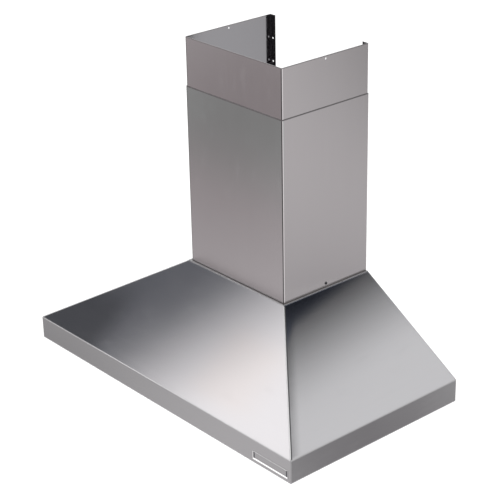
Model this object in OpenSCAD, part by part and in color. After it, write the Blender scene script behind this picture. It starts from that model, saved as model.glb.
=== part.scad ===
// Wall-mounted chimney range hood: pyramid canopy, telescoping flue, blower, damper and filters.
// The wall is towards +Y, the front towards -Y, and the canopy's rim stands on Z = 0.

/* [Canopy] */
// Width of the canopy across the wall
canopy_w = 900; // [760:10:1000]
// Depth of the canopy from the wall to the front
canopy_d = 504; // [480:4:560]
// Height of the vertical fascia round the rim
skirt_h = 55; // [50:1:80]
// Rise of the slopes from the fascia to the flue
canopy_rise = 172; // [160:2:220]
// Thickness of the stainless sheet
sheet_t = 1; // [0.8:0.1:1.2]
// Outer radius of the fold between fascia and slope
fold_r = 2.5; // [2:0.25:4]
// Width of the lip turned inwards under the fascia
lip_w = 20; // [16:1:24]
// Width of the ledge between the slopes and the flue
ledge_w = 6; // [5:1:16]
// Width of the rim folded inwards at the top of the slopes
rim_w = 9; // [7:1:10]
// Height of the tabs that the flue's foot is screwed to
tab_h = 18; // [16:1:22]
// Width of those tabs
tab_w = 34; // [24:1:50]

/* [Flue] */
// Width of the lower flue cover
flue_w = 323; // [300:1:360]
// Depth of the lower flue cover
flue_d = 258; // [246:1:280]
// Length of the lower flue cover
lower_l = 433; // [400:1:500]
// Length of the upper flue cover
upper_l = 420; // [380:5:440]
// Length of the upper cover that shows above the lower one
upper_show = 115; // [110:1:150]
// Gap between the two covers
slide_gap = 0.4; // [0.3:0.05:0.6]
// Outer radius of the flue's folded corners
corner_r = 2.2; // [2:0.1:3.5]
// Width of the flanges turned inwards at the flue's back
flange_w = 17; // [14:1:22]
// Radius of the screw holes in the upper cover
flue_hole_r = 2.25; // [1.8:0.05:2.8]
// Distance of the side holes below the flue's top
side_hole_drop = 7; // [6:0.5:12]
// Distance of the flange holes below the flue's top
flange_hole_drop = 56; // [30:1:80]

/* [Wall fixing] */
// Distance between the wall holes across the back
wall_hole_dx = 300; // [240:10:340]
// Distance between the wall holes up the back
wall_hole_dz = 100; // [80:5:110]
// Height of the lower wall holes above the rim
wall_hole_z = 95; // [85:5:100]
// Radius of the wall holes
wall_hole_r = 4; // [3:0.25:5]

/* [Badge plate] */
// Width of the bare plate on the fascia
badge_w = 110; // [60:2:120]
// Height of the bare plate
badge_h = 20; // [16:1:30]
// Height of the plate's lower edge above the rim
badge_z = 8; // [5:1:16]
// Thickness of the bare plate
badge_t = 1.2; // [0.8:0.1:2]
// Distance from the plate to the canopy's right corner
badge_inset = 9; // [6:1:60]

/* [Underside] */
// Height of the pan's face above the rim
pan_up = 26; // [24:1:34]
// Width of the strip in front of the filters
strip_front = 93; // [90:1:110]
// Width of the strip behind the filters
strip_rear = 46; // [40:1:60]
// Width of the strips beside the filters
strip_side = 39; // [30:1:60]

/* [Filters] */
// Gap between two filters
filter_gap = 2; // [1.5:0.5:4]
// Thickness of a filter
filter_t = 10; // [9:0.5:14]
// Overlap of a filter's back edge on the pan
filter_rest = 6; // [4:0.5:8]
// Gap in front of the filters
filter_front_gap = 2; // [1.5:0.25:3]
// Width of the filter frame's face
frame_face = 14; // [12:1:20]
// Thickness of the filter frame's sheet
frame_t = 0.8; // [0.6:0.1:1]
// Number of baffles in the lower row
baffle_n = 8; // [6:1:10]
// Depth of one baffle's folded edge
baffle_fold = 3; // [2:0.25:3.5]
// Thickness of the baffle sheet
baffle_t = 0.6; // [0.5:0.1:0.8]
// Share of the pitch that a baffle covers
baffle_share = 0.72; // [0.65:0.01:0.8]
// Width of the fold-down pull
pull_w = 48; // [40:1:70]
// Drop of the pull below its pivot
pull_drop = 18; // [14:1:20]
// Radius of the pull's wire
pull_r = 1.5; // [1.2:0.1:2]
// Thickness of the ears that carry the pull
ear_t = 2.8; // [2:0.1:4]
// Distance of the ears behind the frame's front edge
ear_back = 7; // [5:0.5:9]
// Thickness of the leaf springs in front of the filters
clip_t = 0.6; // [0.4:0.1:0.8]
// Width of a leaf spring
clip_w = 22; // [14:1:30]
// Distance between the two leaf springs of a filter
clip_dx = 150; // [120:5:180]
// Gap between a leaf spring and the filter
clip_gap = 0.5; // [0.4:0.05:0.8]

/* [Controls] */
// Width of the control bezel
bezel_w = 142; // [138:2:170]
// Depth of the control bezel
bezel_d = 32; // [28:1:40]
// Thickness of the control bezel
bezel_t = 2.5; // [2:0.25:4]
// Width of a push button
button_w = 18; // [14:0.5:20]
// Depth of a push button
button_d = 14; // [10:0.5:16]
// Distance from one button to the next
button_pitch = 25; // [23:0.5:28]
// How far a button stands out of the bezel
button_proud = 3.5; // [3:0.25:5]
// How far a button can be pressed
button_travel = 2.5; // [2:0.25:3]
// Radius of a button's corners
button_corner = 2; // [1:0.25:3]
// Radius of the bezel's corners
bezel_corner = 4; // [2:0.5:6]
// Gap round a button
button_gap = 0.4; // [0.3:0.05:0.6]
// Height of the switch housing above the pan
switch_h = 30; // [24:1:40]
// Wall of the switch housing
switch_wall = 2; // [1.5:0.25:3]
// Thickness of the switch board
board_t = 1.6; // [1:0.1:2]

/* [Lamps] */
// Distance of each lamp from the hood's side
lamp_inset = 160; // [120:5:200]
// Radius of a lamp's trim ring
trim_r = 36; // [34:1:40]
// Thickness of a lamp's trim ring
trim_t = 2.5; // [2:0.25:4]
// Radius of a lamp's lens
lens_r = 27; // [22:0.5:29]
// Thickness of a lamp's lens
lens_t = 3; // [2:0.25:4]
// Outer radius of a lamp's body
lamp_r = 31; // [30.5:0.5:33]
// Height of a lamp's body above the pan
lamp_h = 26; // [20:1:34]
// Wall of a lamp's body
lamp_wall = 1.5; // [1:0.1:2]

/* [Blower] */
// Radius of the blower wheel
wheel_r = 58; // [54:1:60]
// Radial depth of the wheel's blades
blade_d = 12; // [9:0.5:14]
// Number of blades
blade_n = 32; // [24:1:40]
// Thickness of a blade
blade_t = 0.8; // [0.6:0.1:1.2]
// Width of the blower wheel
wheel_w = 108; // [90:2:110]
// Gap between the wheel and the housing's nose
nose_gap = 6; // [5:0.5:8]
// How far the spiral grows from its nose to the outlet
scroll_growth = 34; // [28:1:36]
// Width of the blower housing inside
scroll_w = 120; // [118:1:130]
// Thickness of the blower housing's sheet
scroll_t = 1; // [0.8:0.1:1.5]
// Radius of the inlet holes
inlet_r = 48; // [46:0.5:50]
// Distance of the hanging screws from the middle
hang_x = 45; // [36:1:52]
// Height of the rolled rim round the right inlet
inlet_rim = 6; // [4:0.5:10]
// Distance of the wheel's axis below the top plate
wheel_drop = 85; // [84:1:88]
// Distance of the wheel's axis from the wall
wheel_back = 81; // [78:0.5:84]
// Width of the flanges that hang the housing
hang_w = 15; // [12:1:18]

/* [Motor] */
// Outer radius of the motor
motor_r = 36; // [30:1:38]
// Length of the motor's case
motor_l = 42; // [38:1:46]
// Wall of the motor's case
motor_wall = 2; // [1.5:0.25:3]
// Radial depth of the stator's coils
coil_d = 10; // [8:0.5:11]
// How far the coils stand out of the core
coil_l = 4; // [3:0.25:5]
// Distance of the coils outside the stator's bore
coil_gap = 2; // [1.5:0.25:3]
// Thickness of the motor's end cap
cap_t = 3; // [2.5:0.25:4]
// Radius of the motor shaft
shaft_r = 4; // [3:0.25:5]
// Outer radius of the ball bearings
bearing_r = 8; // [7:0.5:10]
// Width of the ball bearings
bearing_w = 6; // [5:0.5:8]
// Outer radius of the bearing seats
seat_r = 12; // [11:0.5:14]
// Length of the stator and the rotor
core_l = 22; // [16:1:24]
// Inner radius of the stator
stator_bore_r = 20; // [18:0.5:22]
// Air gap between the stator and the rotor
air_gap = 0.4; // [0.3:0.05:0.6]
// Radial clearance of a running fit
run_fit = 0.05; // [0.03:0.01:0.08]
// Radial clearance of a seated fit
seat_fit = 0.02; // [0.01:0.01:0.03]
// Thickness of the motor bracket
bracket_t = 2; // [1.5:0.25:3]
// Width of the bracket's arms
bracket_arm_w = 16; // [12:1:20]
// Outer radius of the wheel's hub
hub_r = 10; // [8:0.5:12]
// Length of the wheel's hub
hub_l = 13; // [10:0.5:16]
// Thickness of the wheel's middle disc
disc_t = 2; // [1:0.25:3]
// Thickness of the nut on the shaft
nut_t = 5; // [4:0.5:7]
// Outer radius of that nut
nut_r = 7.5; // [6:0.5:9]

/* [Duct collar] */
// Outer radius of the duct collar
collar_r = 75; // [74:0.5:76]
// Height of the duct collar
collar_h = 46; // [40:1:60]
// Thickness of the collar's wall
collar_t = 1.2; // [1:0.1:2]
// Width of the collar's foot flange
collar_flange = 12; // [10:1:14]
// Height of the damper's pin above the collar's foot
pin_up = 20; // [18:1:26]
// Radius of the damper's pin
pin_r = 1.5; // [1.2:0.1:2]
// Wall of the knuckles that turn on the pin
knuckle_wall = 1.1; // [0.8:0.1:1.6]
// Place of the outer knuckle along the pin
knuckle_place = 40; // [32:1:52]
// Length of one knuckle
knuckle_l = 14; // [10:1:18]
// Thickness of a damper flap
flap_t = 0.8; // [0.6:0.1:1.2]
// Gap between a flap and the collar
flap_gap = 2; // [1.5:0.25:3]
// Depth of the outlet in the top plate
outlet_d = 84; // [78:1:88]

/* [Electrics] */
// Distance of the wiring box from the middle
box_x = 245; // [240:5:255]
// Width of the wiring box
box_w = 110; // [90:2:120]
// Depth of the wiring box
box_d = 34; // [28:1:40]
// Height of the wiring box
box_h = 60; // [50:2:64]
// Wall of the wiring box
box_wall = 1.2; // [1:0.1:2]
// Width of the terminal block
terminal_w = 50; // [40:1:60]
// Depth of the terminal block
terminal_d = 16; // [12:1:20]
// Height of the terminal block
terminal_h = 20; // [16:1:26]
// Number of ways in the terminal block
terminal_n = 5; // [3:1:6]
// Height of the wiring box above the rim
box_z = 60; // [56:1:64]
// Distance of the capacitor from the middle
cap_x = 200; // [180:5:220]
// Radius of the capacitor
capacitor_r = 17; // [14:0.5:20]
// Length of the capacitor
capacitor_l = 58; // [50:1:70]
// Height of the capacitor above the rim
capacitor_z = 62; // [58:1:70]
// Height of the clip round the capacitor
clip_h = 14; // [10:1:20]
// Thickness of that clip
clip_band = 1; // [0.8:0.1:1.5]
// Distance of the cable gland from the middle
gland_x = 120; // [112:1:130]
// Distance of the cable gland from the wall
gland_back = 26; // [24:1:34]
// Bore radius of the cable gland
gland_bore_r = 4.5; // [3:0.25:5.5]
// Outer radius of the gland's neck in the plate
gland_neck_r = 6; // [5.75:0.05:6.5]
// Outer radius of the gland's hexagonal nut
gland_nut_r = 9.1; // [8.5:0.1:10]
// Height of the gland's nut
gland_nut_h = 5; // [4:0.5:7]
// Outer radius of the cable gland
gland_r = 8; // [7:0.25:9]
// Height of the cable gland above the top plate
gland_h = 18; // [14:1:26]

/* [Screws] */
// Shank radius of the sheet-metal screws
screw_r = 1.9; // [1.5:0.05:2.1]
// Head radius of the screws
screw_head_r = 3.6; // [3:0.1:4.5]
// Head height of the screws
screw_head_h = 1.8; // [1.4:0.1:2.6]
// Length of the motor bracket's screws
bracket_screw_l = 6; // [5:0.5:7]
// Length of the screws' shanks
screw_l = 7; // [6:0.5:9]

/* [Hidden] */

$fn = 64;
// How far a cut runs past the face it opens
over = 2;
steel = [0.66, 0.65, 0.66];
steel_dark = [0.5, 0.5, 0.52];
zinc = [0.72, 0.73, 0.74];
black = [0.12, 0.12, 0.13];
aluminium = [0.78, 0.78, 0.8];
glass = [0.9, 0.93, 0.95, 0.6];

// Steps of the arc at a fold
fold_steps = 4;
// Share of the slope by which the panels' ground plans run past them
plan_share = 0.05;

// Canopy planes
half_w = canopy_w / 2;
lamp_x = half_w - lamp_inset;
front_y = -canopy_d / 2;
wall_y = canopy_d / 2;
top_z = skirt_h + canopy_rise;
plate_z = top_z + sheet_t;
half_top = flue_w / 2 + ledge_w;
flue_front = wall_y - flue_d;
top_front = flue_front - ledge_w;
run_front = top_front - front_y;
run_side = half_w - half_top;

// Flue planes
flue_half = flue_w / 2;
seam_z = plate_z + lower_l;
flue_top = seam_z + upper_show;
upper_z = flue_top - upper_l;
step = sheet_t + slide_gap;

// Pan planes
pan_half = half_w - lip_w;
pan_front = front_y + lip_w;
pan_rear = wall_y - lip_w;
pan_top = pan_up + sheet_t;
open_half = pan_half - strip_side;
open_front = pan_front + strip_front;
open_rear = pan_rear - strip_rear;
pan_clear = 0.3;
strip_mid = (pan_front + open_front) / 2;

// Filters
filter_count = 3;
filter_w = (2 * open_half - (filter_count + 1) * filter_gap) / filter_count;
filter_step = filter_w + filter_gap;
filter_front = open_front + filter_front_gap;
filter_rear = open_rear + filter_rest;
filter_l = filter_rear - filter_front;
filter_z = pan_top + pan_clear;
window_w = filter_w - 2 * frame_face;
baffle_pitch = window_w / baffle_n;
baffle_w = baffle_pitch * baffle_share;
pivot_y = filter_front + ear_back;
ear_half = pull_r + run_fit + ear_t / 2;
pivot_z = filter_z - ear_half;
ear_gap = 0.6;
ear_mid = pull_w / 2 - 2 * pull_r - ear_gap - ear_t / 2;
stub_in = ear_mid - ear_t / 2 - ear_gap;
clip_up = filter_t + pan_clear;

// Controls
button_count = 5;
bezel_z = pan_up - bezel_t;
switch_w = (button_count - 1) * button_pitch + button_w + 4 * switch_wall;
switch_d = button_d + 4 * switch_wall;
stem_w = button_w / 3;
board_z = pan_top + switch_h * 2 / 3;
board_clear = 0.5;
button_rest = 0.3;
stem_top = board_z - button_travel - board_clear;
button_collar = 1;

// Lamps
lens_clear = 0.5;
trim_lip = 2;

// Blower
wheel_y = wall_y - wheel_back;
wheel_z = top_z - wheel_drop;
spiral_r = wheel_r + nose_gap;
spiral_end = spiral_r + scroll_growth;
outlet_front = wheel_y - spiral_end;
outlet_rear = outlet_front + outlet_d;
scroll_half = scroll_w / 2;
outlet_y = (outlet_front + outlet_rear) / 2;
wheel_half = wheel_w / 2;
scroll_turn = 270;
scroll_step = 10;
ring_t = 2;
blade_inset = 0.5;
blade_in = wheel_r - blade_d + blade_inset;
blade_out = wheel_r - blade_inset;
blade_lead = 8;
blade_sweep = 24;
blade_steps = 4;

// Motor, along the wheel's axis
plate_out = scroll_half + scroll_t;
motor_x = -plate_out;
case_end = motor_x + motor_l;
cap_end = case_end + cap_t;
core_x = motor_x + (motor_l - core_l) / 2;
cap_lip = 1;
front_bearing_x = cap_end - cap_lip - bearing_w;
coil_in = stator_bore_r + coil_gap;
coil_r = coil_in + coil_d;
shaft_clear = 0.5;
disc_x = -disc_t / 2;
hub_end = disc_x + hub_l;
shaft_start = motor_x + motor_wall + shaft_clear;
shaft_end = hub_end + nut_t + shaft_r / 2;
bracket_screw_r = inlet_r + 2 * screw_r;

// Collar and damper
collar_z = plate_z;
pin_z = collar_z + pin_up;
knuckle_r = pin_r + run_fit + knuckle_wall;
knuckle_clear = 0.4;
collar_in = collar_r - collar_t;
pin_half = collar_r - collar_t / 4;
flap_r = collar_in - flap_gap;
collar_screw_r = collar_r + collar_flange / 2;

// Sizes shared by small parts
gland_y = wall_y - gland_back;
back_in = wall_y - sheet_t;
screw_clear = 0.1;
tab_mid = flue_front + flue_d / 2;
foot_screw_z = plate_z + tab_h / 2;

// Wiring box and capacitor
box_front = back_in - box_d;
post_r = screw_head_r;
capacitor_y = back_in - clip_band - capacitor_r;

// Draws a profile given in Y and Z, and pulls it along X from x0
module along_x(x0, len) {
    translate([x0, 0, 0]) rotate([90, 0, 90]) linear_extrude(len) children();
}

// Draws a profile given in X and Z, and pulls it along Y from y0
module along_y(y0, len) {
    translate([0, y0 + len, 0]) rotate([90, 0, 0]) linear_extrude(len) children();
}

// A box from its low corner to its high corner
module box(low, high) {
    translate(low) cube(high - low);
}

// A cylinder along X
module rod_x(x0, x1, y, z, r) {
    translate([x0, y, z]) rotate([0, 90, 0]) cylinder(h = x1 - x0, r = r);
}

// A cylinder along Y
module rod_y(x, y0, y1, z, r) {
    translate([x, y1, z]) rotate([90, 0, 0]) cylinder(h = y1 - y0, r = r);
}

// A pan-head screw whose head rests on Z = 0 and whose shank points down
module screw_down(len) {
    cylinder(h = screw_head_h, r = screw_head_r);
    translate([0, 0, -len]) cylinder(h = len, r = screw_r);
}

// Points of an arc round a centre, from one angle to another
function arc(c, r, a0, a1, steps) =
    [for (i = [0:steps]) let (a = a0 + (a1 - a0) * i / steps) c + r * [cos(a), sin(a)]];

// Angle that the sheet turns through at the fold, and the centre of the fold
function fold_turn(run) = 90 - atan(canopy_rise / run);
function fold_centre(run) = [fold_r, skirt_h - fold_r * tan(fold_turn(run) / 2)];
function fold_arc(run, r) = arc(fold_centre(run), r, 180, 180 - fold_turn(run), fold_steps);

// Height that the sheet takes up on a slope, and where its inner face meets the rim's underside
function slope_drop(run) = sheet_t / sin(fold_turn(run));
function inner_top(run) = run + (slope_drop(run) - sheet_t) * run / canopy_rise;

// Inner face of a folded wall, from the bottom up: distance inwards from its outer face, and height
function inner_face(run) = concat([[sheet_t, sheet_t]], fold_arc(run, fold_r - sheet_t));

// Outline of a folded wall with its bottom lip and its top rim
function wall_outline(run) = concat(
    [[0, 0]],
    fold_arc(run, fold_r),
    [[run, top_z], [run + rim_w, top_z], [run + rim_w, top_z - sheet_t]],
    [[inner_top(run), top_z - sheet_t]],
    [for (i = [fold_steps + 1:-1:0]) inner_face(run)[i]],
    [[lip_w, sheet_t], [lip_w, 0]]
);

// Point of the hip seen from above, at a share of the way from the corner to the flue
function hip(share) = [half_w - share * run_side, front_y + share * run_front];

// Ground plans of the panels, which meet along the hips
module front_plan() {
    low = hip(-plan_share);
    high = hip(1 + plan_share);
    polygon([[-low[0], low[1]], low, high, [-high[0], high[1]]]);
}

module side_plan() {
    low = hip(-plan_share);
    high = hip(1 + plan_share);
    polygon([low, [low[0], wall_y + over], [high[0], wall_y + over], high]);
}

module canopy_front_panel() {
    color(steel) intersection() {
        along_x(-half_w, canopy_w)
            polygon([for (p = wall_outline(run_front)) [front_y + p[0], p[1]]]);
        translate([0, 0, -over]) linear_extrude(top_z + 2 * over) front_plan();
    }
}

module side_panel() {
    color(steel) intersection() {
        along_y(front_y, canopy_d)
            polygon([for (p = wall_outline(run_side)) [half_w - p[0], p[1]]]);
        translate([0, 0, -over]) linear_extrude(top_z + 2 * over) side_plan();
    }
}

module canopy_right_panel() {
    side_panel();
}

module canopy_left_panel() {
    mirror([1, 0, 0]) side_panel();
}

// Half of the back's outline, inside the side panels
function back_half() = concat(
    [for (p = inner_face(run_side)) [half_w - p[0], p[1]]],
    [[half_w - inner_top(run_side), top_z - sheet_t]]
);

module canopy_back_panel() {
    right = back_half();
    left = [for (i = [len(right) - 1:-1:0]) [-right[i][0], right[i][1]]];
    color(steel_dark) difference() {
        union() {
            along_y(back_in, sheet_t) polygon(concat(right, left));
            box([-pan_half, pan_rear, 0], [pan_half, wall_y, sheet_t]);
        }
        for (x = [-wall_hole_dx / 2, wall_hole_dx / 2], z = [wall_hole_z, wall_hole_z + wall_hole_dz])
            rod_y(x, back_in - over, wall_y + over, z, wall_hole_r);
    }
}

// Places of the screws that hold the blower's flanges to the top plate
function hang_places() = [
    for (x = [-1, 1], y = [outlet_front - hang_w / 2, outlet_rear + hang_w / 2]) [x * hang_x, y]
];

// Places of the screws that hold the collar to the top plate
function collar_places() = [
    for (a = [0:90:270]) [collar_screw_r * cos(a), outlet_y + collar_screw_r * sin(a)]
];

module canopy_top_plate() {
    color(steel) difference() {
        union() {
            box([-half_top, top_front, top_z], [half_top, wall_y, plate_z]);
            for (s = [-1, 1]) translate([s * (flue_half - sheet_t * 3 / 2), tab_mid, plate_z + tab_h / 2])
                cube([sheet_t, tab_w, tab_h], center = true);
        }
        box([-scroll_half, outlet_front, top_z - over], [scroll_half, outlet_rear, plate_z + over]);
        rod_x(-half_top, half_top, tab_mid, foot_screw_z, screw_r + screw_clear);
        for (p = concat(hang_places(), collar_places()))
            translate([p[0], p[1], top_z - over]) cylinder(h = sheet_t + 2 * over, r = screw_r + screw_clear);
        translate([gland_x, gland_y, top_z - over]) cylinder(h = sheet_t + 2 * over, r = gland_neck_r + seat_fit);
    }
}

module underside_pan() {
    color(steel) difference() {
        union() {
            box(
                [-half_w + sheet_t + pan_clear, front_y + sheet_t + pan_clear, sheet_t],
                [half_w - sheet_t - pan_clear, back_in - pan_clear, 2 * sheet_t]
            );
            box([-pan_half, pan_front, sheet_t], [pan_half, pan_rear, pan_top]);
        }
        box(
            [-pan_half + sheet_t, pan_front + sheet_t, -over],
            [pan_half - sheet_t, pan_rear - sheet_t, pan_up]
        );
        box([-open_half, open_front, pan_up - over], [open_half, open_rear, pan_top + over]);
        translate([0, strip_mid, pan_up + sheet_t / 2])
            cube([switch_w - 2 * switch_wall, switch_d - 2 * switch_wall, sheet_t + 2 * over], center = true);
        for (s = [-1, 1]) translate([s * lamp_x, strip_mid, pan_up - over])
            cylinder(h = sheet_t + 2 * over, r = lens_r + lens_clear);
    }
}

module badge_plate() {
    color(aluminium) box(
        [half_w - badge_inset - badge_w, front_y - badge_t, badge_z],
        [half_w - badge_inset, front_y, badge_z + badge_h]
    );
}

// Ground plan of a flue cover: a rectangle whose two front corners are rounded
module cover_plan(half, front, back, r) {
    polygon([
        [-half, back], [-half, front + r], [-half + r, front + r], [-half + r, front],
        [half - r, front], [half - r, front + r], [half, front + r], [half, back]
    ]);
    for (s = [-1, 1]) translate([s * (half - r), front + r]) circle(r = r);
}

// A flue cover: three walls and two flanges at the back, set in from the lower cover's faces
module flue_cover(inset, z0, len) {
    half = flue_half - inset;
    front = flue_front + inset;
    back = wall_y - inset;
    translate([0, 0, z0]) linear_extrude(len) difference() {
        cover_plan(half, front, back, corner_r);
        cover_plan(half - sheet_t, front + sheet_t, back - sheet_t, corner_r - sheet_t);
        translate([-half + flange_w, front + sheet_t + corner_r])
            square([2 * (half - flange_w), flue_d]);
    }
}

module flue_lower_cover() {
    color(steel) difference() {
        flue_cover(0, plate_z, lower_l);
        rod_x(-flue_half - over, flue_half + over, tab_mid, foot_screw_z, screw_r + screw_clear);
    }
}

module flue_upper_cover() {
    flange_x = flue_half - step - flange_w / 2;
    color(steel) difference() {
        flue_cover(step, upper_z, upper_l);
        rod_x(-flue_half - over, flue_half + over, tab_mid, flue_top - side_hole_drop, flue_hole_r);
        for (s = [-1, 1], drop = [flange_hole_drop, 2 * flange_hole_drop])
            rod_y(s * flange_x, wall_y - 3 * step, wall_y + over, flue_top - drop, flue_hole_r);
    }
}

module flue_foot_screws() {
    color(zinc) for (s = [-1, 1]) translate([s * flue_half, tab_mid, foot_screw_z])
        rotate([0, s * 90, 0]) screw_down(screw_l);
}

module duct_collar() {
    color(zinc) translate([0, outlet_y, collar_z]) difference() {
        union() {
            cylinder(h = collar_h, r = collar_r);
            cylinder(h = collar_t, r = collar_r + collar_flange);
        }
        translate([0, 0, -over]) cylinder(h = collar_h + 2 * over, r = collar_in);
        rod_x(-collar_r - over, collar_r + over, 0, pin_up, pin_r + seat_fit);
        for (p = collar_places()) translate([p[0], p[1] - outlet_y, -over])
            cylinder(h = collar_t + 2 * over, r = screw_r + screw_clear);
    }
}

module damper_pin() {
    color(zinc) rod_x(-pin_half, pin_half, outlet_y, pin_z, pin_r);
}

// Half-round damper flap on the side of the pin that side names, with its two knuckles at the places given
module damper_flap(side, places) {
    near = knuckle_r + knuckle_clear;
    color(zinc) translate([0, outlet_y, pin_z]) difference() {
        union() {
            intersection() {
                translate([0, 0, -flap_t / 2]) cylinder(h = flap_t, r = flap_r);
                translate([-flap_r, side > 0 ? near : -near - flap_r, -flap_t]) cube([2 * flap_r, flap_r, 2 * flap_t]);
            }
            for (x = places) {
                rod_x(x - knuckle_l / 2, x + knuckle_l / 2, 0, 0, knuckle_r);
                translate([x, side * near / 2 + side * flap_t, 0])
                    cube([knuckle_l, near + 2 * flap_t, flap_t], center = true);
            }
        }
        rod_x(-flap_r, flap_r, 0, 0, pin_r + run_fit);
    }
}

module damper_front_flap() {
    damper_flap(-1, [-knuckle_place, knuckle_place / 2]);
}

module damper_rear_flap() {
    damper_flap(1, [-knuckle_place / 2, knuckle_place]);
}

module collar_screws() {
    color(zinc) for (p = collar_places()) translate([p[0], p[1], collar_z + collar_t]) screw_down(screw_l);
}

// Point of the scroll's spiral at an angle from the top towards the wall, moved out by extra
function spiral(a, extra) =
    let (r = spiral_r + scroll_growth * max(a, 0) / scroll_turn + extra)
    [wheel_y + r * sin(a), wheel_z + r * cos(a)];

// Outline of the blower's air space, moved out by extra
function scroll_outline(extra) = concat(
    [spiral(-nose_turn(extra), extra)],
    [for (a = [0:scroll_step:scroll_turn]) spiral(a, extra)],
    [[outlet_front - extra, top_z], [outlet_rear + extra, top_z]]
);

// Angle at which the spiral's nose meets the outlet's rear wall
function nose_turn(extra) = asin((wheel_y - outlet_rear - extra) / (spiral_r + extra));

module blower_scroll() {
    color(zinc) difference() {
        union() {
            along_x(-scroll_half, scroll_w) polygon(scroll_outline(scroll_t));
            box(
                [-scroll_half, outlet_front - hang_w, top_z - scroll_t],
                [scroll_half, outlet_rear + hang_w, top_z]
            );
        }
        along_x(-scroll_half - over, scroll_w + 2 * over) polygon(scroll_outline(0));
        box(
            [-scroll_half - over, outlet_front, top_z - scroll_t],
            [scroll_half + over, outlet_rear, top_z + over]
        );
        for (p = hang_places()) translate([p[0], p[1], top_z - scroll_t - over])
            cylinder(h = scroll_t + 2 * over, r = screw_r + screw_clear);
    }
}

// Side plate of the blower between x0 and x0 + scroll_t
module side_plate(x0) {
    difference() {
        along_x(x0, scroll_t) polygon(scroll_outline(scroll_t));
        rod_x(x0 - over, x0 + scroll_t + over, wheel_y, wheel_z, inlet_r);
    }
}

// Places of the motor bracket's screws in Y and Z
function bracket_places() = [
    for (a = [90:120:330]) [wheel_y + bracket_screw_r * cos(a), wheel_z + bracket_screw_r * sin(a)]
];

module blower_left_plate() {
    color(zinc) difference() {
        side_plate(-plate_out);
        for (p = bracket_places())
            rod_x(-plate_out - over, over - scroll_half, p[0], p[1], screw_r + screw_clear);
    }
}

module blower_right_plate() {
    color(zinc) union() {
        side_plate(scroll_half);
        difference() {
            rod_x(scroll_half, plate_out + inlet_rim, wheel_y, wheel_z, inlet_r + scroll_t);
            rod_x(scroll_half - over, plate_out + inlet_rim + over, wheel_y, wheel_z, inlet_r);
        }
    }
}

module blower_screws() {
    color(steel_dark) for (p = hang_places()) translate([p[0], p[1], top_z - scroll_t])
        mirror([0, 0, 1]) screw_down(screw_l);
}

// One blade of the wheel, bent forwards, as a thin strip between its two radii
function blade_angle(s) = blade_lead * s - blade_sweep * s * (1 - s);
function blade_point(s, side) =
    let (r = blade_in + (blade_out - blade_in) * s, a = blade_angle(s) + side * blade_t / 2 / r * 180 / PI)
    r * [cos(a), sin(a)];
function blade_outline() = concat(
    [for (i = [0:blade_steps]) blade_point(i / blade_steps, -1)],
    [for (i = [blade_steps:-1:0]) blade_point(i / blade_steps, 1)]
);

module ring_x(x0, x1, outer, inner) {
    difference() {
        rod_x(x0, x1, wheel_y, wheel_z, outer);
        rod_x(x0 - over, x1 + over, wheel_y, wheel_z, inner);
    }
}

module blower_wheel() {
    color(zinc) union() {
        along_x(ring_t / 2 - wheel_half, wheel_w - ring_t) translate([wheel_y, wheel_z])
            for (i = [0:blade_n - 1]) rotate(i * 360 / blade_n) polygon(blade_outline());
        ring_x(-wheel_half, ring_t - wheel_half, wheel_r, wheel_r - blade_d);
        ring_x(wheel_half - ring_t, wheel_half, wheel_r, wheel_r - blade_d);
        ring_x(disc_x, disc_x + disc_t, wheel_r - blade_d / 2, shaft_r + seat_fit);
        ring_x(disc_x, hub_end, hub_r, shaft_r + seat_fit);
    }
}

module wheel_nut() {
    color(steel_dark) difference() {
        translate([hub_end, wheel_y, wheel_z]) rotate([0, 90, 0]) cylinder(h = nut_t, r = nut_r, $fn = 6);
        rod_x(hub_end - over, hub_end + nut_t + over, wheel_y, wheel_z, shaft_r + seat_fit);
    }
}

module motor_bracket() {
    color(zinc) difference() {
        along_x(motor_x - bracket_t, bracket_t) translate([wheel_y, wheel_z]) {
            circle(r = motor_r);
            for (a = [90:120:330]) rotate(a) {
                translate([0, -bracket_arm_w / 2]) square([bracket_screw_r, bracket_arm_w]);
                translate([bracket_screw_r, 0]) circle(r = bracket_arm_w / 2);
            }
        }
        for (p = bracket_places())
            rod_x(motor_x - bracket_t - over, motor_x + over, p[0], p[1], screw_r + screw_clear);
    }
}

module motor_bracket_screws() {
    color(steel_dark) for (p = bracket_places()) translate([motor_x - bracket_t, p[0], p[1]])
        rotate([0, -90, 0]) screw_down(bracket_screw_l);
}

module motor_case() {
    color(steel_dark) union() {
        rod_x(motor_x, motor_x + motor_wall, wheel_y, wheel_z, motor_r);
        ring_x(motor_x, case_end, motor_r, motor_r - motor_wall);
        ring_x(motor_x, motor_x + motor_wall + bearing_w, seat_r, bearing_r + seat_fit);
    }
}

module motor_end_cap() {
    color(steel_dark) difference() {
        union() {
            rod_x(case_end, cap_end, wheel_y, wheel_z, motor_r);
            rod_x(front_bearing_x, cap_end, wheel_y, wheel_z, seat_r);
        }
        rod_x(front_bearing_x - over, front_bearing_x + bearing_w, wheel_y, wheel_z, bearing_r + seat_fit);
        rod_x(front_bearing_x, cap_end + over, wheel_y, wheel_z, shaft_r + shaft_clear);
    }
}

module motor_stator() {
    color([0.7, 0.4, 0.2]) union() {
        ring_x(core_x, core_x + core_l, motor_r - motor_wall - seat_fit, stator_bore_r);
        ring_x(core_x - coil_l, core_x + core_l + coil_l, coil_r, coil_in);
    }
}

module motor_rotor() {
    color(steel_dark) ring_x(core_x, core_x + core_l, stator_bore_r - air_gap, shaft_r + seat_fit);
}

module motor_shaft() {
    color(steel) rod_x(shaft_start, shaft_end, wheel_y, wheel_z, shaft_r);
}

module motor_bearings() {
    color(aluminium) for (x = [motor_x + motor_wall, front_bearing_x])
        ring_x(x, x + bearing_w, bearing_r, shaft_r + run_fit);
}

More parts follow.
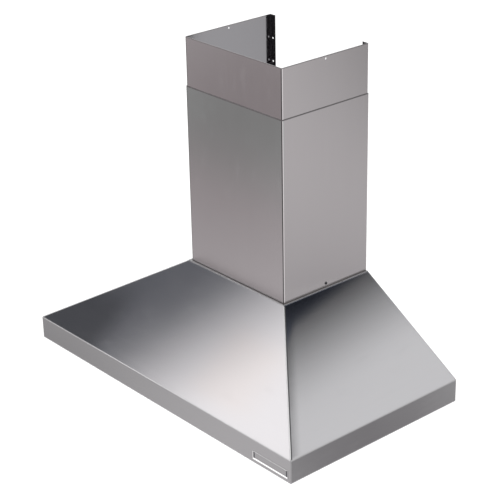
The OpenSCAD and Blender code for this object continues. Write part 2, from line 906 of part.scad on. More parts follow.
module run_capacitor() {
    color(aluminium) translate([-cap_x, capacitor_y, capacitor_z])
        cylinder(h = capacitor_l, r = capacitor_r);
}

module capacitor_clip() {
    clip_z = capacitor_z + (capacitor_l - clip_h) / 2;
    color(zinc) difference() {
        union() {
            translate([-cap_x, capacitor_y, clip_z]) cylinder(h = clip_h, r = capacitor_r + clip_band);
            box(
                [-cap_x - 2 * capacitor_r, back_in - clip_band, clip_z],
                [-cap_x + 2 * capacitor_r, back_in, clip_z + clip_h]
            );
        }
        translate([-cap_x, capacitor_y, clip_z - over])
            cylinder(h = clip_h + 2 * over, r = capacitor_r + seat_fit);
    }
}

// Places of the box cover's screws in X and Z
function box_places() = [
    for (s = [-1, 1]) [box_x + s * (box_w / 2 - box_wall / 2 - post_r), box_z + box_h / 2]
];

module wiring_box() {
    color(zinc) difference() {
        union() {
            difference() {
                box([box_x - box_w / 2, box_front, box_z], [box_x + box_w / 2, back_in, box_z + box_h]);
                box(
                    [box_x - box_w / 2 + box_wall, box_front - over, box_z + box_wall],
                    [box_x + box_w / 2 - box_wall, back_in - box_wall, box_z + box_h - box_wall]
                );
            }
            for (p = box_places()) rod_y(p[0], box_front, back_in - box_wall, p[1], post_r);
        }
        for (p = box_places()) rod_y(p[0], box_front - over, box_front + screw_l, p[1], screw_r + screw_clear);
    }
}

module wiring_box_cover() {
    color(zinc) difference() {
        box(
            [box_x - box_w / 2, box_front - box_wall, box_z],
            [box_x + box_w / 2, box_front, box_z + box_h]
        );
        for (p = box_places()) rod_y(p[0], box_front - box_wall - over, box_front + over, p[1], screw_r + screw_clear);
    }
}

module box_cover_screws() {
    color(steel_dark) for (p = box_places()) translate([p[0], box_front - box_wall, p[1]])
        rotate([90, 0, 0]) screw_down(screw_l);
}

module terminal_block() {
    pitch = terminal_w / terminal_n;
    color([0.9, 0.9, 0.86]) difference() {
        translate([box_x - terminal_w / 2, back_in - box_wall - terminal_d, box_z + box_h / 2 - terminal_h / 2])
            cube([terminal_w, terminal_d, terminal_h]);
        for (i = [0:terminal_n - 1])
            rod_y(
                box_x - terminal_w / 2 + (i + 0.5) * pitch, back_in - box_wall - terminal_d - over,
                back_in - box_wall - terminal_d / 2, box_z + box_h / 2, pitch / 4
            );
    }
}

module cable_gland() {
    color(black) translate([gland_x, gland_y, 0]) {
        difference() {
            union() {
                translate([0, 0, top_z - gland_nut_h]) cylinder(h = gland_nut_h + gland_h, r = gland_neck_r);
                translate([0, 0, plate_z]) cylinder(h = gland_h - sheet_t, r = gland_r);
            }
            translate([0, 0, top_z - gland_nut_h - over])
                cylinder(h = gland_h + gland_nut_h + 2 * over, r = gland_bore_r);
        }
        difference() {
            translate([0, 0, top_z - gland_nut_h]) cylinder(h = gland_nut_h, r = gland_nut_r, $fn = 6);
            translate([0, 0, top_z - gland_nut_h - over])
                cylinder(h = gland_nut_h + 2 * over, r = gland_neck_r + seat_fit);
        }
    }
}

// A rectangle about the origin with rounded corners
module rounded_rect(w, d, r) {
    square([w - 2 * r, d], center = true);
    square([w, d - 2 * r], center = true);
    for (x = [-1, 1], y = [-1, 1]) translate([x * (w / 2 - r), y * (d / 2 - r)]) circle(r = r);
}

module control_bezel() {
    color(black) translate([0, strip_mid, bezel_z]) linear_extrude(bezel_t) difference() {
        rounded_rect(bezel_w, bezel_d, bezel_corner);
        for (i = [0:button_count - 1]) translate([button_at(i), 0])
            rounded_rect(button_w + 2 * button_gap, button_d + 2 * button_gap, button_corner + button_gap);
    }
}

module switch_housing() {
    color(black) difference() {
        translate([0, strip_mid, pan_top + switch_h / 2]) cube([switch_w, switch_d, switch_h], center = true);
        translate([0, strip_mid, pan_top + (switch_h - switch_wall) / 2 - over / 2])
            cube([switch_w - 2 * switch_wall, switch_d - 2 * switch_wall, switch_h - switch_wall + over], center = true);
    }
}

module switch_board() {
    color([0.1, 0.4, 0.2]) translate([0, strip_mid, board_z + board_t / 2])
        cube([switch_w - 2 * switch_wall, switch_d - 2 * switch_wall, board_t], center = true);
}

// Place of a button along X
function button_at(i) = (i - (button_count - 1) / 2) * button_pitch;

module push_button(i) {
    color(aluminium) translate([button_at(i), strip_mid, 0]) {
        translate([0, 0, bezel_z - button_proud]) linear_extrude(button_proud + bezel_t + button_rest)
            rounded_rect(button_w, button_d, button_corner);
        translate([0, 0, pan_up + button_rest]) linear_extrude(sheet_t)
            rounded_rect(button_w + 2 * button_collar, button_d + 2 * button_collar, button_corner);
        translate([0, 0, pan_up + button_rest]) linear_extrude(stem_top - pan_up - button_rest)
            square(stem_w, center = true);
    }
}

module button_off() {
    push_button(0);
}

module button_low() {
    push_button(1);
}

module button_medium() {
    push_button(2);
}

module button_high() {
    push_button(3);
}

module button_light() {
    push_button(4);
}

module lamp_trim(s) {
    color(aluminium) translate([s * lamp_x, strip_mid, pan_up - trim_t]) difference() {
        cylinder(h = trim_t, r = trim_r);
        translate([0, 0, -over]) cylinder(h = trim_t + 2 * over, r = lens_r - trim_lip);
        translate([0, 0, trim_t / 2]) cylinder(h = trim_t, r = lens_r + seat_fit);
    }
}

module lamp_lens(s) {
    color(glass) translate([s * lamp_x, strip_mid, pan_up - trim_t / 2]) cylinder(h = lens_t, r = lens_r);
}

module lamp_body(s) {
    color(steel_dark) translate([s * lamp_x, strip_mid, pan_top]) {
        difference() {
            cylinder(h = lamp_h, r = lamp_r);
            translate([0, 0, -over]) cylinder(h = lamp_h - lamp_wall + over, r = lamp_r - lamp_wall);
        }
        translate([0, 0, lamp_h / 2]) cylinder(h = lamp_h / 2 - lamp_wall / 2, r = lamp_r / 3);
    }
}

module lamp_left_trim() {
    lamp_trim(-1);
}

module lamp_left_lens() {
    lamp_lens(-1);
}

module lamp_left_body() {
    lamp_body(-1);
}

module lamp_right_trim() {
    lamp_trim(1);
}

module lamp_right_lens() {
    lamp_lens(1);
}

module lamp_right_body() {
    lamp_body(1);
}

// Frame of the filter whose middle is at x: a channel folded from sheet, and two ears for the pull
module filter_frame(x) {
    color(aluminium) translate([x, 0, 0]) difference() {
        union() {
            difference() {
                box([-filter_w / 2, filter_front, filter_z], [filter_w / 2, filter_rear, filter_z + filter_t]);
                box(
                    [-filter_w / 2 + frame_t, filter_front + frame_t, filter_z + frame_t],
                    [filter_w / 2 - frame_t, filter_rear - frame_t, filter_z + filter_t - frame_t]
                );
                box(
                    [-window_w / 2, filter_front + frame_face, filter_z - over],
                    [window_w / 2, filter_rear - frame_face, filter_z + filter_t + over]
                );
            }
            for (s = [-1, 1]) {
                rod_x(s * ear_mid - ear_t / 2, s * ear_mid + ear_t / 2, pivot_y, pivot_z, ear_half);
                box(
                    [s * ear_mid - ear_t / 2, pivot_y - ear_half, pivot_z],
                    [s * ear_mid + ear_t / 2, pivot_y + ear_half, filter_z + frame_t]
                );
            }
        }
        for (s = [-1, 1]) rod_x(s * ear_mid - ear_t, s * ear_mid + ear_t, pivot_y, pivot_z, pull_r + run_fit);
    }
}

// One baffle: a flat strip with its two edges folded to side, centred at x and lying on z
module baffle(x, z, side) {
    w = baffle_w / 2;
    t = side * baffle_t;
    f = side * baffle_fold;
    in = w - baffle_t;
    translate([x, 0, z]) along_y(filter_front + frame_t, filter_l - 2 * frame_t)
        polygon([[-w, 0], [w, 0], [w, f], [in, f], [in, t], [-in, t], [-in, f], [-w, f]]);
}

module filter_baffles(x) {
    color(aluminium) {
        for (i = [0:baffle_n - 1])
            baffle(x - window_w / 2 + (i + 0.5) * baffle_pitch, filter_z + frame_t, 1);
        for (i = [0:baffle_n])
            baffle(x - window_w / 2 + i * baffle_pitch, filter_z + filter_t - frame_t, -1);
    }
}

module filter_pull(x) {
    leg = pull_w / 2 - pull_r;
    color(steel) translate([x, pivot_y, pivot_z]) {
        for (s = [-1, 1]) {
            rod_x(min(s * leg, s * stub_in), max(s * leg, s * stub_in), 0, 0, pull_r);
            translate([s * leg, 0, 0]) sphere(r = pull_r);
            translate([s * leg, 0, -pull_drop]) cylinder(h = pull_drop, r = pull_r);
            translate([s * leg, 0, -pull_drop]) sphere(r = pull_r);
        }
        rod_x(-leg, leg, 0, -pull_drop, pull_r);
    }
}

module filter_left_frame() {
    filter_frame(-filter_step);
}

module filter_left_baffles() {
    filter_baffles(-filter_step);
}

module filter_left_pull() {
    filter_pull(-filter_step);
}

module filter_middle_frame() {
    filter_frame(0);
}

module filter_middle_baffles() {
    filter_baffles(0);
}

module filter_middle_pull() {
    filter_pull(0);
}

module filter_right_frame() {
    filter_frame(filter_step);
}

module filter_right_baffles() {
    filter_baffles(filter_step);
}

module filter_right_pull() {
    filter_pull(filter_step);
}

module filter_clips() {
    back = filter_front - clip_gap;
    color(steel_dark) for (i = [-1:1], s = [-1, 1]) translate([i * filter_step + s * clip_dx / 2, 0, 0]) {
        box([-clip_w / 2, back - clip_t, pan_top], [clip_w / 2, back, pan_top + clip_up]);
        box([-clip_w / 2, back - clip_w / 2, pan_top], [clip_w / 2, back, pan_top + clip_t]);
    }
}

canopy_front_panel();
canopy_left_panel();
canopy_right_panel();
canopy_back_panel();
canopy_top_plate();
underside_pan();
badge_plate();
flue_lower_cover();
flue_upper_cover();
flue_foot_screws();
duct_collar();
damper_pin();
damper_front_flap();
damper_rear_flap();
collar_screws();
blower_scroll();
blower_left_plate();
blower_right_plate();
blower_screws();
blower_wheel();
wheel_nut();
motor_bracket();
motor_bracket_screws();
motor_case();
motor_end_cap();
motor_stator();
motor_rotor();
motor_shaft();
motor_bearings();
run_capacitor();
capacitor_clip();
wiring_box();
wiring_box_cover();
box_cover_screws();
terminal_block();
cable_gland();
control_bezel();
switch_housing();
switch_board();
button_off();
button_low();
button_medium();
button_high();
button_light();
lamp_left_trim();
lamp_left_lens();
lamp_left_body();
lamp_right_trim();
lamp_right_lens();
lamp_right_body();
filter_left_frame();
filter_left_baffles();
filter_left_pull();
filter_middle_frame();
filter_middle_baffles();
filter_middle_pull();
filter_right_frame();
filter_right_baffles();
filter_right_pull();
filter_clips();
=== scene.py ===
"""Looks of a wall-mounted chimney range hood: its finishes, fasteners, signs and studio."""

import logging
import math
from abc import ABC, abstractmethod
from collections.abc import Callable, Iterable, Sequence
from dataclasses import dataclass
from enum import Enum

import bmesh
import bpy
from mathutils import Matrix, Vector


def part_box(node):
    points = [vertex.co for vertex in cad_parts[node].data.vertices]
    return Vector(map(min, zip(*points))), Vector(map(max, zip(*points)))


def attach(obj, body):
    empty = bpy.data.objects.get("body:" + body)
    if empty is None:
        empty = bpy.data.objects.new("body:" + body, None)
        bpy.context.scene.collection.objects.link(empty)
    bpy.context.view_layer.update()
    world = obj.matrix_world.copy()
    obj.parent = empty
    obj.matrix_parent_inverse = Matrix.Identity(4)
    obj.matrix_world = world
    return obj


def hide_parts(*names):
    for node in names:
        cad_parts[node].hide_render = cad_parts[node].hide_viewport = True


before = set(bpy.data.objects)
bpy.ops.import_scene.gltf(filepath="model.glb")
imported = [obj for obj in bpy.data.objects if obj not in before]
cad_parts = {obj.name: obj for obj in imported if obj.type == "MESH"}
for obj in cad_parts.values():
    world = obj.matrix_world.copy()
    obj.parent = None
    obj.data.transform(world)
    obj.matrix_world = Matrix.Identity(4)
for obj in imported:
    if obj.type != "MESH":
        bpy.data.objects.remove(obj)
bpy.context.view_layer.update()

LOG = logging.getLogger("range_hood")
ROOT_BODY = "hood"
MM = 0.001
MIDDLE = 0.5  # of a noise pattern
WELD = 0.002 * MM  # points this close are made one
SHARP_ANGLE = math.radians(32.0)
EDGE_SAMPLES = 6

Colour = tuple[float, float, float]
Point = tuple[float, float, float]
Pair = tuple[float, float]
Shape = bmesh.types.BMesh
Piece = bpy.types.Object
Socket = bpy.types.NodeSocket
Shader = bpy.types.Node


class Axis(Enum):
    """An axis of the frame, by its number."""

    X = 0
    Y = 1
    Z = 2


@dataclass(frozen=True)
class Value:
    """A number socket on which Python's operators add Math nodes."""

    graph: "Graph"
    socket: Socket

    def __add__(self, other: "Value | float") -> "Value":
        """Adds a value or a number."""
        return self.graph.maths("ADD", self, other)

    def __radd__(self, other: float) -> "Value":
        """Adds this value to a number."""
        return self.graph.maths("ADD", other, self)

    def __sub__(self, other: "Value | float") -> "Value":
        """Takes away a value or a number."""
        return self.graph.maths("SUBTRACT", self, other)

    def __rsub__(self, other: float) -> "Value":
        """Takes this value away from a number."""
        return self.graph.maths("SUBTRACT", other, self)

    def __mul__(self, other: "Value | float") -> "Value":
        """Multiplies by a value or a number."""
        return self.graph.maths("MULTIPLY", self, other)

    def __rmul__(self, other: float) -> "Value":
        """Multiplies a number by this value."""
        return self.graph.maths("MULTIPLY", other, self)

    def __truediv__(self, other: "Value | float") -> "Value":
        """Divides by a value or a number."""
        return self.graph.maths("DIVIDE", self, other)

    def __pow__(self, power: float) -> "Value":
        """Raises to a power."""
        return self.graph.maths("POWER", self, power)

    def __abs__(self) -> "Value":
        """Drops the sign."""
        return self.graph.maths("ABSOLUTE", self)

    def most(self, other: "Value | float") -> "Value":
        """Takes the larger of two values."""
        return self.graph.maths("MAXIMUM", self, other)

    def wave(self) -> "Value":
        """Takes the sine."""
        return self.graph.maths("SINE", self)

    def ramp(self, low: float, high: float, straight: bool = False) -> "Value":
        """Maps low..high to 0..1, and holds it at both ends.

        Args:
            low: Value that gives 0.
            high: Value that gives 1.
            straight: Whether the way between them is a straight line or a smooth step.

        Returns:
            The mapped value.
        """
        settings = {"interpolation_type": "LINEAR" if straight else "SMOOTHSTEP"}
        made = self.graph.node("ShaderNodeMapRange", settings, {0: self, 1: low, 2: high})
        return Value(self.graph, made.outputs[0])


class Graph:
    """A node tree that is filled through one method."""

    def __init__(self, tree: bpy.types.NodeTree) -> None:
        """Empties the tree.

        Args:
            tree: Node tree of a material or of the world.
        """
        self.tree = tree
        tree.nodes.clear()

    def node(
        self, kind: str, settings: dict | None = None, sockets: dict | None = None
    ) -> bpy.types.Node:
        """Adds a node, sets it up, and then fills its sockets.

        Args:
            kind: Blender's name of the node's type.
            settings: The node's own settings, set first.
            sockets: Values or links by the socket's name or number.

        Returns:
            The new node.
        """
        made = self.tree.nodes.new(kind)
        for name, setting in (settings or {}).items():
            setattr(made, name, setting)
        self.fill(made, sockets or {})
        return made

    def fill(self, node: bpy.types.Node, sockets: dict) -> None:
        """Fills a node's sockets, by their name or number."""
        for key, source in sockets.items():
            self.plug(source, node.inputs[key])

    def plug(self, source: object, target: Socket) -> None:
        """Links a socket to a source, or sets its value.

        Args:
            source: A Value, a socket, a number, a colour or a vector.
            target: Socket that takes it.
        """
        if isinstance(source, Value):
            source = source.socket
        if isinstance(source, Socket):
            self.tree.links.new(source, target)
        elif isinstance(source, tuple) and len(source) == 3 and target.type == "RGBA":
            target.default_value = (*source, 1.0)
        else:
            target.default_value = source

    def maths(self, operation: str, *values: Value | float) -> Value:
        """Adds a Math node.

        Args:
            operation: Blender's name of the operation.
            values: Its inputs, in order.

        Returns:
            The result.
        """
        made = self.node("ShaderNodeMath", {"operation": operation}, dict(enumerate(values)))
        return Value(self, made.outputs[0])

    def place(self) -> Socket:
        """Gives the point's place in the object's own frame, in metres."""
        return self.node("ShaderNodeTexCoord").outputs["Object"]

    def stretched(self, scale: Point) -> Socket:
        """Gives the place with each axis scaled by itself."""
        sockets = {0: self.place(), 1: scale}
        return self.node("ShaderNodeVectorMath", {"operation": "MULTIPLY"}, sockets).outputs[0]

    def part(self, vector: Socket, axis: Axis) -> Value:
        """Takes one component of a vector."""
        made = self.node("ShaderNodeSeparateXYZ", None, {0: vector})
        return Value(self, made.outputs[axis.value])

    def along(self, vector: Socket, direction: Point) -> Value:
        """Takes a vector's length along a direction.

        Args:
            vector: The vector.
            direction: The direction, with a length of 1.

        Returns:
            The length.
        """
        sockets = {0: vector, 1: direction}
        made = self.node("ShaderNodeVectorMath", {"operation": "DOT_PRODUCT"}, sockets)
        return Value(self, made.outputs["Value"])

    def noise(
        self, scale: float, detail: float = 2.0, rough: float = 0.5, vector: Socket | None = None
    ) -> Value:
        """Adds a noise pattern.

        Args:
            scale: Features per metre.
            detail: Octaves.
            rough: Weight of the finer octaves.
            vector: Where it is read, or the point's place.

        Returns:
            The pattern, from about 0 to 1.
        """
        vector = vector or self.place()
        sockets = {"Vector": vector, "Scale": scale, "Detail": detail, "Roughness": rough}
        return Value(self, self.node("ShaderNodeTexNoise", None, sockets).outputs[0])

    def blend(self, share: Value, first: object, second: object) -> Socket:
        """Mixes two colours.

        Args:
            share: Share of the second colour.
            first: Colour or socket at 0.
            second: Colour or socket at 1.

        Returns:
            The mixed colour.
        """
        sockets = {0: share, 6: first, 7: second}
        return self.node("ShaderNodeMix", {"data_type": "RGBA"}, sockets).outputs[2]

    def mixed(self, share: Value | Socket, first: Shader, second: Shader) -> Socket:
        """Mixes two shaders, the first at a share of 0 and the second at 1."""
        sockets = {0: share, 1: first.outputs[0], 2: second.outputs[0]}
        return self.node("ShaderNodeMixShader", None, sockets).outputs[0]

    def relief(self, height: Value, depth: float, strength: float, edge: float) -> Socket:
        """Turns a height pattern into a normal, on edges that are rounded a little.

        Args:
            height: Pattern from 0 to 1.
            depth: Height of 1, in metres.
            strength: Share of the relief that shows.
            edge: Radius of the rounded edges, in metres, or 0.

        Returns:
            The normal.
        """
        sockets = {"Height": height, "Distance": depth, "Strength": strength}
        if edge:
            rounded = self.node("ShaderNodeBevel", {"samples": EDGE_SAMPLES}, {"Radius": edge})
            sockets["Normal"] = rounded.outputs[0]
        return self.node("ShaderNodeBump", None, sockets).outputs[0]


def tint(colour: Colour, factor: float) -> Colour:
    """Scales a colour's brightness."""
    return tuple(min(1.0, part * factor) for part in colour)


def toned(colour: Colour, factors: Colour) -> Colour:
    """Scales each part of a colour by its own factor."""
    return tuple(part * factor for part, factor in zip(colour, factors))


@dataclass(frozen=True)
class Pattern:
    """A noise over a surface, with its weights in the colour and the roughness.

    The scale is in features per metre, alike on every axis, or along the grain and across it. A
    pattern with a span is a mask that runs from 0 to 1 over it; any other swings about its middle.
    """

    scale: float | Pair
    detail: float = 2.0
    rough: float = 0.5
    tone: float = 0.0
    dull: float = 0.0
    span: Pair | None = None

    def value(self, graph: Graph, grain: Axis) -> Value:
        """Adds the noise, or the mask that is made of it.

        Args:
            graph: The material's nodes.
            grain: Axis that the surface's grain runs along.

        Returns:
            The noise or the mask.
        """
        scale, vector = self.scale, None
        if isinstance(scale, tuple):
            along, across = scale
            vector = graph.stretched(tuple(along if axis is grain else across for axis in Axis))
            scale = 1.0
        noise = graph.noise(scale, self.detail, self.rough, vector)
        return noise.ramp(*self.span) if self.span else noise


@dataclass(frozen=True)
class Crystals(Pattern):
    """Zinc crystals, each with a tone of its own."""

    def value(self, graph: Graph, grain: Axis) -> Value:
        """Adds the crystals.

        Args:
            graph: The material's nodes.
            grain: Not used; crystals follow no grain.

        Returns:
            The tone of each.
        """
        sockets = {"Vector": graph.place(), "Scale": self.scale}
        cells = graph.node("ShaderNodeTexVoronoi", {"distance": "MINKOWSKI"}, sockets)
        return graph.part(cells.outputs["Color"], Axis.X)


@dataclass(frozen=True)
class Finish:
    """A finish that many pieces can share; the first of its patterns is its relief as well."""

    name: str
    colour: Colour
    grain: Axis = Axis.Z
    roughness: float = 0.4
    metallic: float = 0.0
    edge: float = 0.3 * MM
    coat: float = 0.0
    transmission: float = 0.0
    patterns: tuple[Pattern, ...] = ()
    mean_tone: float = MIDDLE
    tones: Pair = (0.8, 1.2)
    depth: float = 0.02 * MM
    strength: float = 0.12

    def material(self) -> bpy.types.Material:
        """Makes the finish's material, or finds it where it was made before.

        Returns:
            The material.
        """
        made = bpy.data.materials.get(self.name)
        if made is None:
            made = bpy.data.materials.new(self.name)
            made.use_nodes = True
            graph = Graph(made.node_tree)
            sockets = {
                "Base Color": self.colour,
                "Roughness": self.roughness,
                "Metallic": self.metallic,
                "Coat Weight": self.coat,
                "Transmission Weight": self.transmission,
            }
            shader = graph.node("ShaderNodeBsdfPrincipled", None, sockets)
            graph.node("ShaderNodeOutputMaterial", None, {"Surface": shader.outputs[0]})
            graph.fill(shader, self.paint(graph))
            made.diffuse_color = (*self.colour, 1.0)
        return made

    def marks(self, graph: Graph) -> list[tuple[Value, Colour]]:
        """Lists the marks of making and use by share and colour; here there are none."""
        return []

    def paint(self, graph: Graph) -> dict[str, object]:
        """Weighs the patterns into colour, roughness and relief.

        Args:
            graph: The material's nodes.

        Returns:
            What goes into the shader, by the name of its socket.
        """
        shade, rough, heights = self.mean_tone, self.roughness, []
        for pattern in self.patterns:
            height = pattern.value(graph, self.grain)
            swing = height if pattern.span else height - MIDDLE
            shade = shade + swing * pattern.tone if pattern.tone else shade
            rough = rough + swing * pattern.dull if pattern.dull else rough
            heights.append(height)
        colour = graph.blend(shade, *(tint(self.colour, factor) for factor in self.tones))
        for share, mark in self.marks(graph):
            colour = graph.blend(share, colour, mark)
        return {
            "Base Color": colour,
            "Roughness": rough,
            "Normal": graph.relief(heights[0], self.depth, self.strength, self.edge),
        }


@dataclass(frozen=True)
class BrushedSteel(Finish):
    """Stainless sheet with hairlines, broader streaks, soft clouds and faint wiping marks."""

    metallic: float = 1.0
    roughness: float = 0.14
    edge: float = 3.0 * MM
    tones: Pair = (0.72, 1.28)
    patterns: tuple[Pattern, ...] = (
        Pattern((9.0, 1500.0), detail=3.0, rough=0.62, tone=0.11, dull=0.08),
        Pattern((1.6, 90.0), tone=0.05),
        Pattern(5.0, rough=0.55, tone=0.05, dull=0.04),
        Pattern((17.1, 38.0), detail=3.0, rough=0.6, dull=0.02, span=(0.56, 0.72)),
    )


@dataclass(frozen=True)
class FoldedSteel(BrushedSteel):
    """Sheet of a flue cover, with painted shade and highlight at its folds, painted shade along its
    cut top and inside, and a cool painted reflection high on its front.
    """

    edge: float = 0.8 * MM
    half_width: float = 161.5 * MM
    inside_shade_tint: Colour = (0.71, 0.735, 0.755)
    inner_skin: Pair = (0.3 * MM, 0.7 * MM)
    front_skin: Pair = (-3 * MM, -1 * MM)
    fold: float = 155.5 * MM
    fold_near: Pair = (62.2 * MM, 77.75 * MM)
    fold_width: float = 2.8 * MM
    fold_blur: float = 0.5 * MM
    fold_shade: float = 0.12
    fold_highlight: float = 1.5
    rim_top: float = 661 * MM
    rim_width: float = 1.6 * MM
    rim_shade: float = 0.4
    cool_rise: Pair = (390 * MM, 640 * MM)
    cool_skin: Pair = (0.0, -2 * MM)
    cool_reflection_tint: Colour = (1.0, 1.0, 1.0)

    def marks(self, graph: Graph) -> list[tuple[Value, Colour]]:
        """Lists the painted cool reflection on the front's top, the painted shade inside, the
        painted shade and highlight lines of each fold and the painted shade along the rim.

        Args:
            graph: The material's nodes.

        Returns:
            The share and the colour of each.
        """
        place = graph.place()
        across, depth, height = (graph.part(place, axis) for axis in Axis)
        across = abs(across)
        # Painted reflection: a cooler, darker tone high on the front face.
        cool = height.ramp(*self.cool_rise) * depth.ramp(*self.cool_skin)
        # Painted shade on the inside of the cover.
        skin = across.ramp(*(self.half_width - inset for inset in self.inner_skin))
        inside = skin * depth.ramp(*self.front_skin)
        # A painted shade line and a painted highlight line along each fold.
        past = across + depth - self.fold
        blur, width = self.fold_blur, self.fold_width
        near = (0.5 * across - depth).ramp(*self.fold_near)
        dull = past.ramp(-width - blur, -width) * past.ramp(blur / 2, -blur / 2) * near
        bright = past.ramp(-blur / 2, blur / 2) * past.ramp(width + blur, width) * near
        # Painted shade along the cover's cut top.
        rim_foot = self.rim_top - self.rim_width
        return [
            (cool, toned(self.colour, self.cool_reflection_tint)),
            (inside, toned(self.colour, self.inside_shade_tint)),
            (dull, tint(self.colour, self.fold_shade)),
            (bright, tint(self.colour, self.fold_highlight)),
            (height.ramp(rim_foot - blur, rim_foot), tint(self.colour, self.rim_shade)),
        ]


@dataclass(frozen=True)
class SlopeSteel(BrushedSteel):
    """Sheet of the canopy's front, with a faint painted warm sheen where it shines most and painted
    shade at its left foot.
    """

    warm_middle: float = 180 * MM
    warm_fade: Pair = (150 * MM, 30 * MM)
    warm_foot: Pair = (55 * MM, 88 * MM)
    warm_head: Pair = (201.25 * MM, 148.75 * MM)
    sheen_tint: Colour = (1.02, 0.99, 0.965)
    corner_shade_side: Pair = (-180 * MM, -280 * MM)
    corner_shade_head: Pair = (185 * MM, 101.75 * MM)
    corner_shade_foot: Pair = (54.45 * MM, 55.55 * MM)
    corner_shade_share: float = 0.6

    def marks(self, graph: Graph) -> list[tuple[Value, Colour]]:
        """Lists the painted warm sheen and the painted shade of the left corner, both with soft
        borders and above the fold.

        Args:
            graph: The material's nodes.

        Returns:
            The share and the colour of each.
        """
        place = graph.place()
        across, height = graph.part(place, Axis.X), graph.part(place, Axis.Z)
        # Painted warm sheen where the front shines most.
        warm = abs(across - self.warm_middle).ramp(*self.warm_fade)
        warm = warm * height.ramp(*self.warm_foot) * height.ramp(*self.warm_head)
        # Painted shade, darker towards the left foot.
        dull = across.ramp(*self.corner_shade_side) * height.ramp(*self.corner_shade_head)
        dull = dull * height.ramp(*self.corner_shade_foot)
        # The warm colour is the painted sheen, and the darker one the painted shade.
        bright, shade_colour = toned(self.colour, self.sheen_tint), tint(self.colour, self.corner_shade_share)
        return [(warm, bright), (dull, shade_colour)]


@dataclass(frozen=True)
class FlankSteel(BrushedSteel):
    """Sheet of the canopy's side, with painted shade along the hip and under the flue's foot."""

    foot_front: float = -252 * MM
    foot_height: float = 55 * MM
    top_height: float = 227 * MM
    hip_run: float = 240 / 172
    hip_shade_width: float = 34 * MM
    hip_shade_foot: float = 4 * MM
    hip_shade_share: float = 0.6
    cloud_scale: float = 30.0
    cloud_least: float = 0.75
    cloud_swing: float = 0.5
    shade_drop: float = 34 * MM
    shade_run: float = 258 * MM
    shade_hip: float = 0.5
    shade_fade: Pair = (1.2, 0.5)
    shade_tint: Colour = (0.42, 0.46, 0.55)

    def marks(self, graph: Graph) -> list[tuple[Value, Colour]]:
        """Lists the painted shade along the hip, which fades away from it, and the painted shade at
        the top.

        Args:
            graph: The material's nodes.

        Returns:
            The share and the colour of each.
        """
        place = graph.place()
        depth, height = graph.part(place, Axis.Y), graph.part(place, Axis.Z)
        rise = height - self.foot_height
        behind = depth - self.foot_front - rise * self.hip_run
        # Painted shade along the hip, of a cloudy strength.
        near_hip = behind.ramp(self.hip_shade_width, 0.0)
        cloud = self.cloud_least + graph.noise(self.cloud_scale) * self.cloud_swing
        hip_shade = near_hip * rise.ramp(0.0, self.hip_shade_foot) * cloud
        # Painted shade under the flue's foot.
        away = (self.top_height - height) / self.shade_drop + behind / self.shade_run
        shade = (away - near_hip * self.shade_hip).ramp(*self.shade_fade)
        hip_shade_colour, shade_colour = tint(self.colour, self.hip_shade_share), toned(self.colour, self.shade_tint)
        return [(hip_shade, hip_shade_colour), (shade, shade_colour)]


@dataclass(frozen=True)
class GalvanisedSheet(Finish):
    """Zinc-coated sheet with a faint spangle and a dull bloom."""

    metallic: float = 0.9
    roughness: float = 0.38
    tones: Pair = (0.78, 1.2)
    strength: float = 0.15
    patterns: tuple[Pattern, ...] = (
        Crystals(95.0, tone=0.5, dull=0.16),
        Pattern(16.0, detail=4.0, rough=0.6, tone=0.5, dull=0.12),
    )


def machined(lines: float) -> tuple[Pattern, ...]:
    """Gives the machining lines of a metal, by their number per metre, and a slight tarnish."""
    tarnish = Pattern(60.0, detail=4.0, rough=0.6, tone=0.5, dull=0.16)
    return (Pattern((lines, 12.0), tone=0.35, dull=0.14), tarnish)


@dataclass(frozen=True)
class SatinMetal(Finish):
    """Turned, drawn or plated metal with fine lines round it."""

    metallic: float = 1.0
    roughness: float = 0.3
    tones: Pair = (0.75, 1.2)
    depth: float = 0.01 * MM
    patterns: tuple[Pattern, ...] = machined(2600.0)


@dataclass(frozen=True)
class SatinPaint(Finish):
    """Sprayed paint with a fine orange peel, tone changes and rubbed spots."""

    roughness: float = 0.42
    coat: float = 0.15
    tones: Pair = (0.8, 1.25)
    depth: float = 0.03 * MM
    strength: float = 0.25
    patterns: tuple[Pattern, ...] = (
        Pattern(700.0),
        Pattern(24.0, detail=4.0, rough=0.6, tone=1.0, dull=0.2),
        Pattern(130.0, detail=3.0, rough=0.7, dull=-0.1, span=(0.6, 0.75)),
    )


@dataclass(frozen=True)
class MouldedPlastic(Finish):
    """Plastic with the mould's grain, from matt to gloss, soft flow marks and light scuffs."""

    roughness: float = 0.5
    mean_tone: float = 0.4
    tones: Pair = (0.82, 1.22)
    depth: float = 0.04 * MM
    strength: float = 0.3
    grain: Axis = Axis.Y
    patterns: tuple[Pattern, ...] = (
        Pattern(1800.0, dull=0.15),
        Pattern(30.0, detail=3.0, tone=0.6),
        Pattern((60.0, 320.0), detail=3.0, rough=0.6, tone=0.25, dull=0.08, span=(0.62, 0.74)),
    )


@dataclass(frozen=True)
class FrostedGlass(Finish):
    """Sand-blasted glass with a fine grain and a faint haze."""

    roughness: float = 0.38
    transmission: float = 0.75
    tones: Pair = (0.93, 1.0)
    depth: float = 0.04 * MM
    strength: float = 0.35
    patterns: tuple[Pattern, ...] = (
        Pattern(1300.0, detail=3.0, rough=0.6, dull=0.2),
        Pattern(45.0, tone=1.0, dull=0.1),
    )


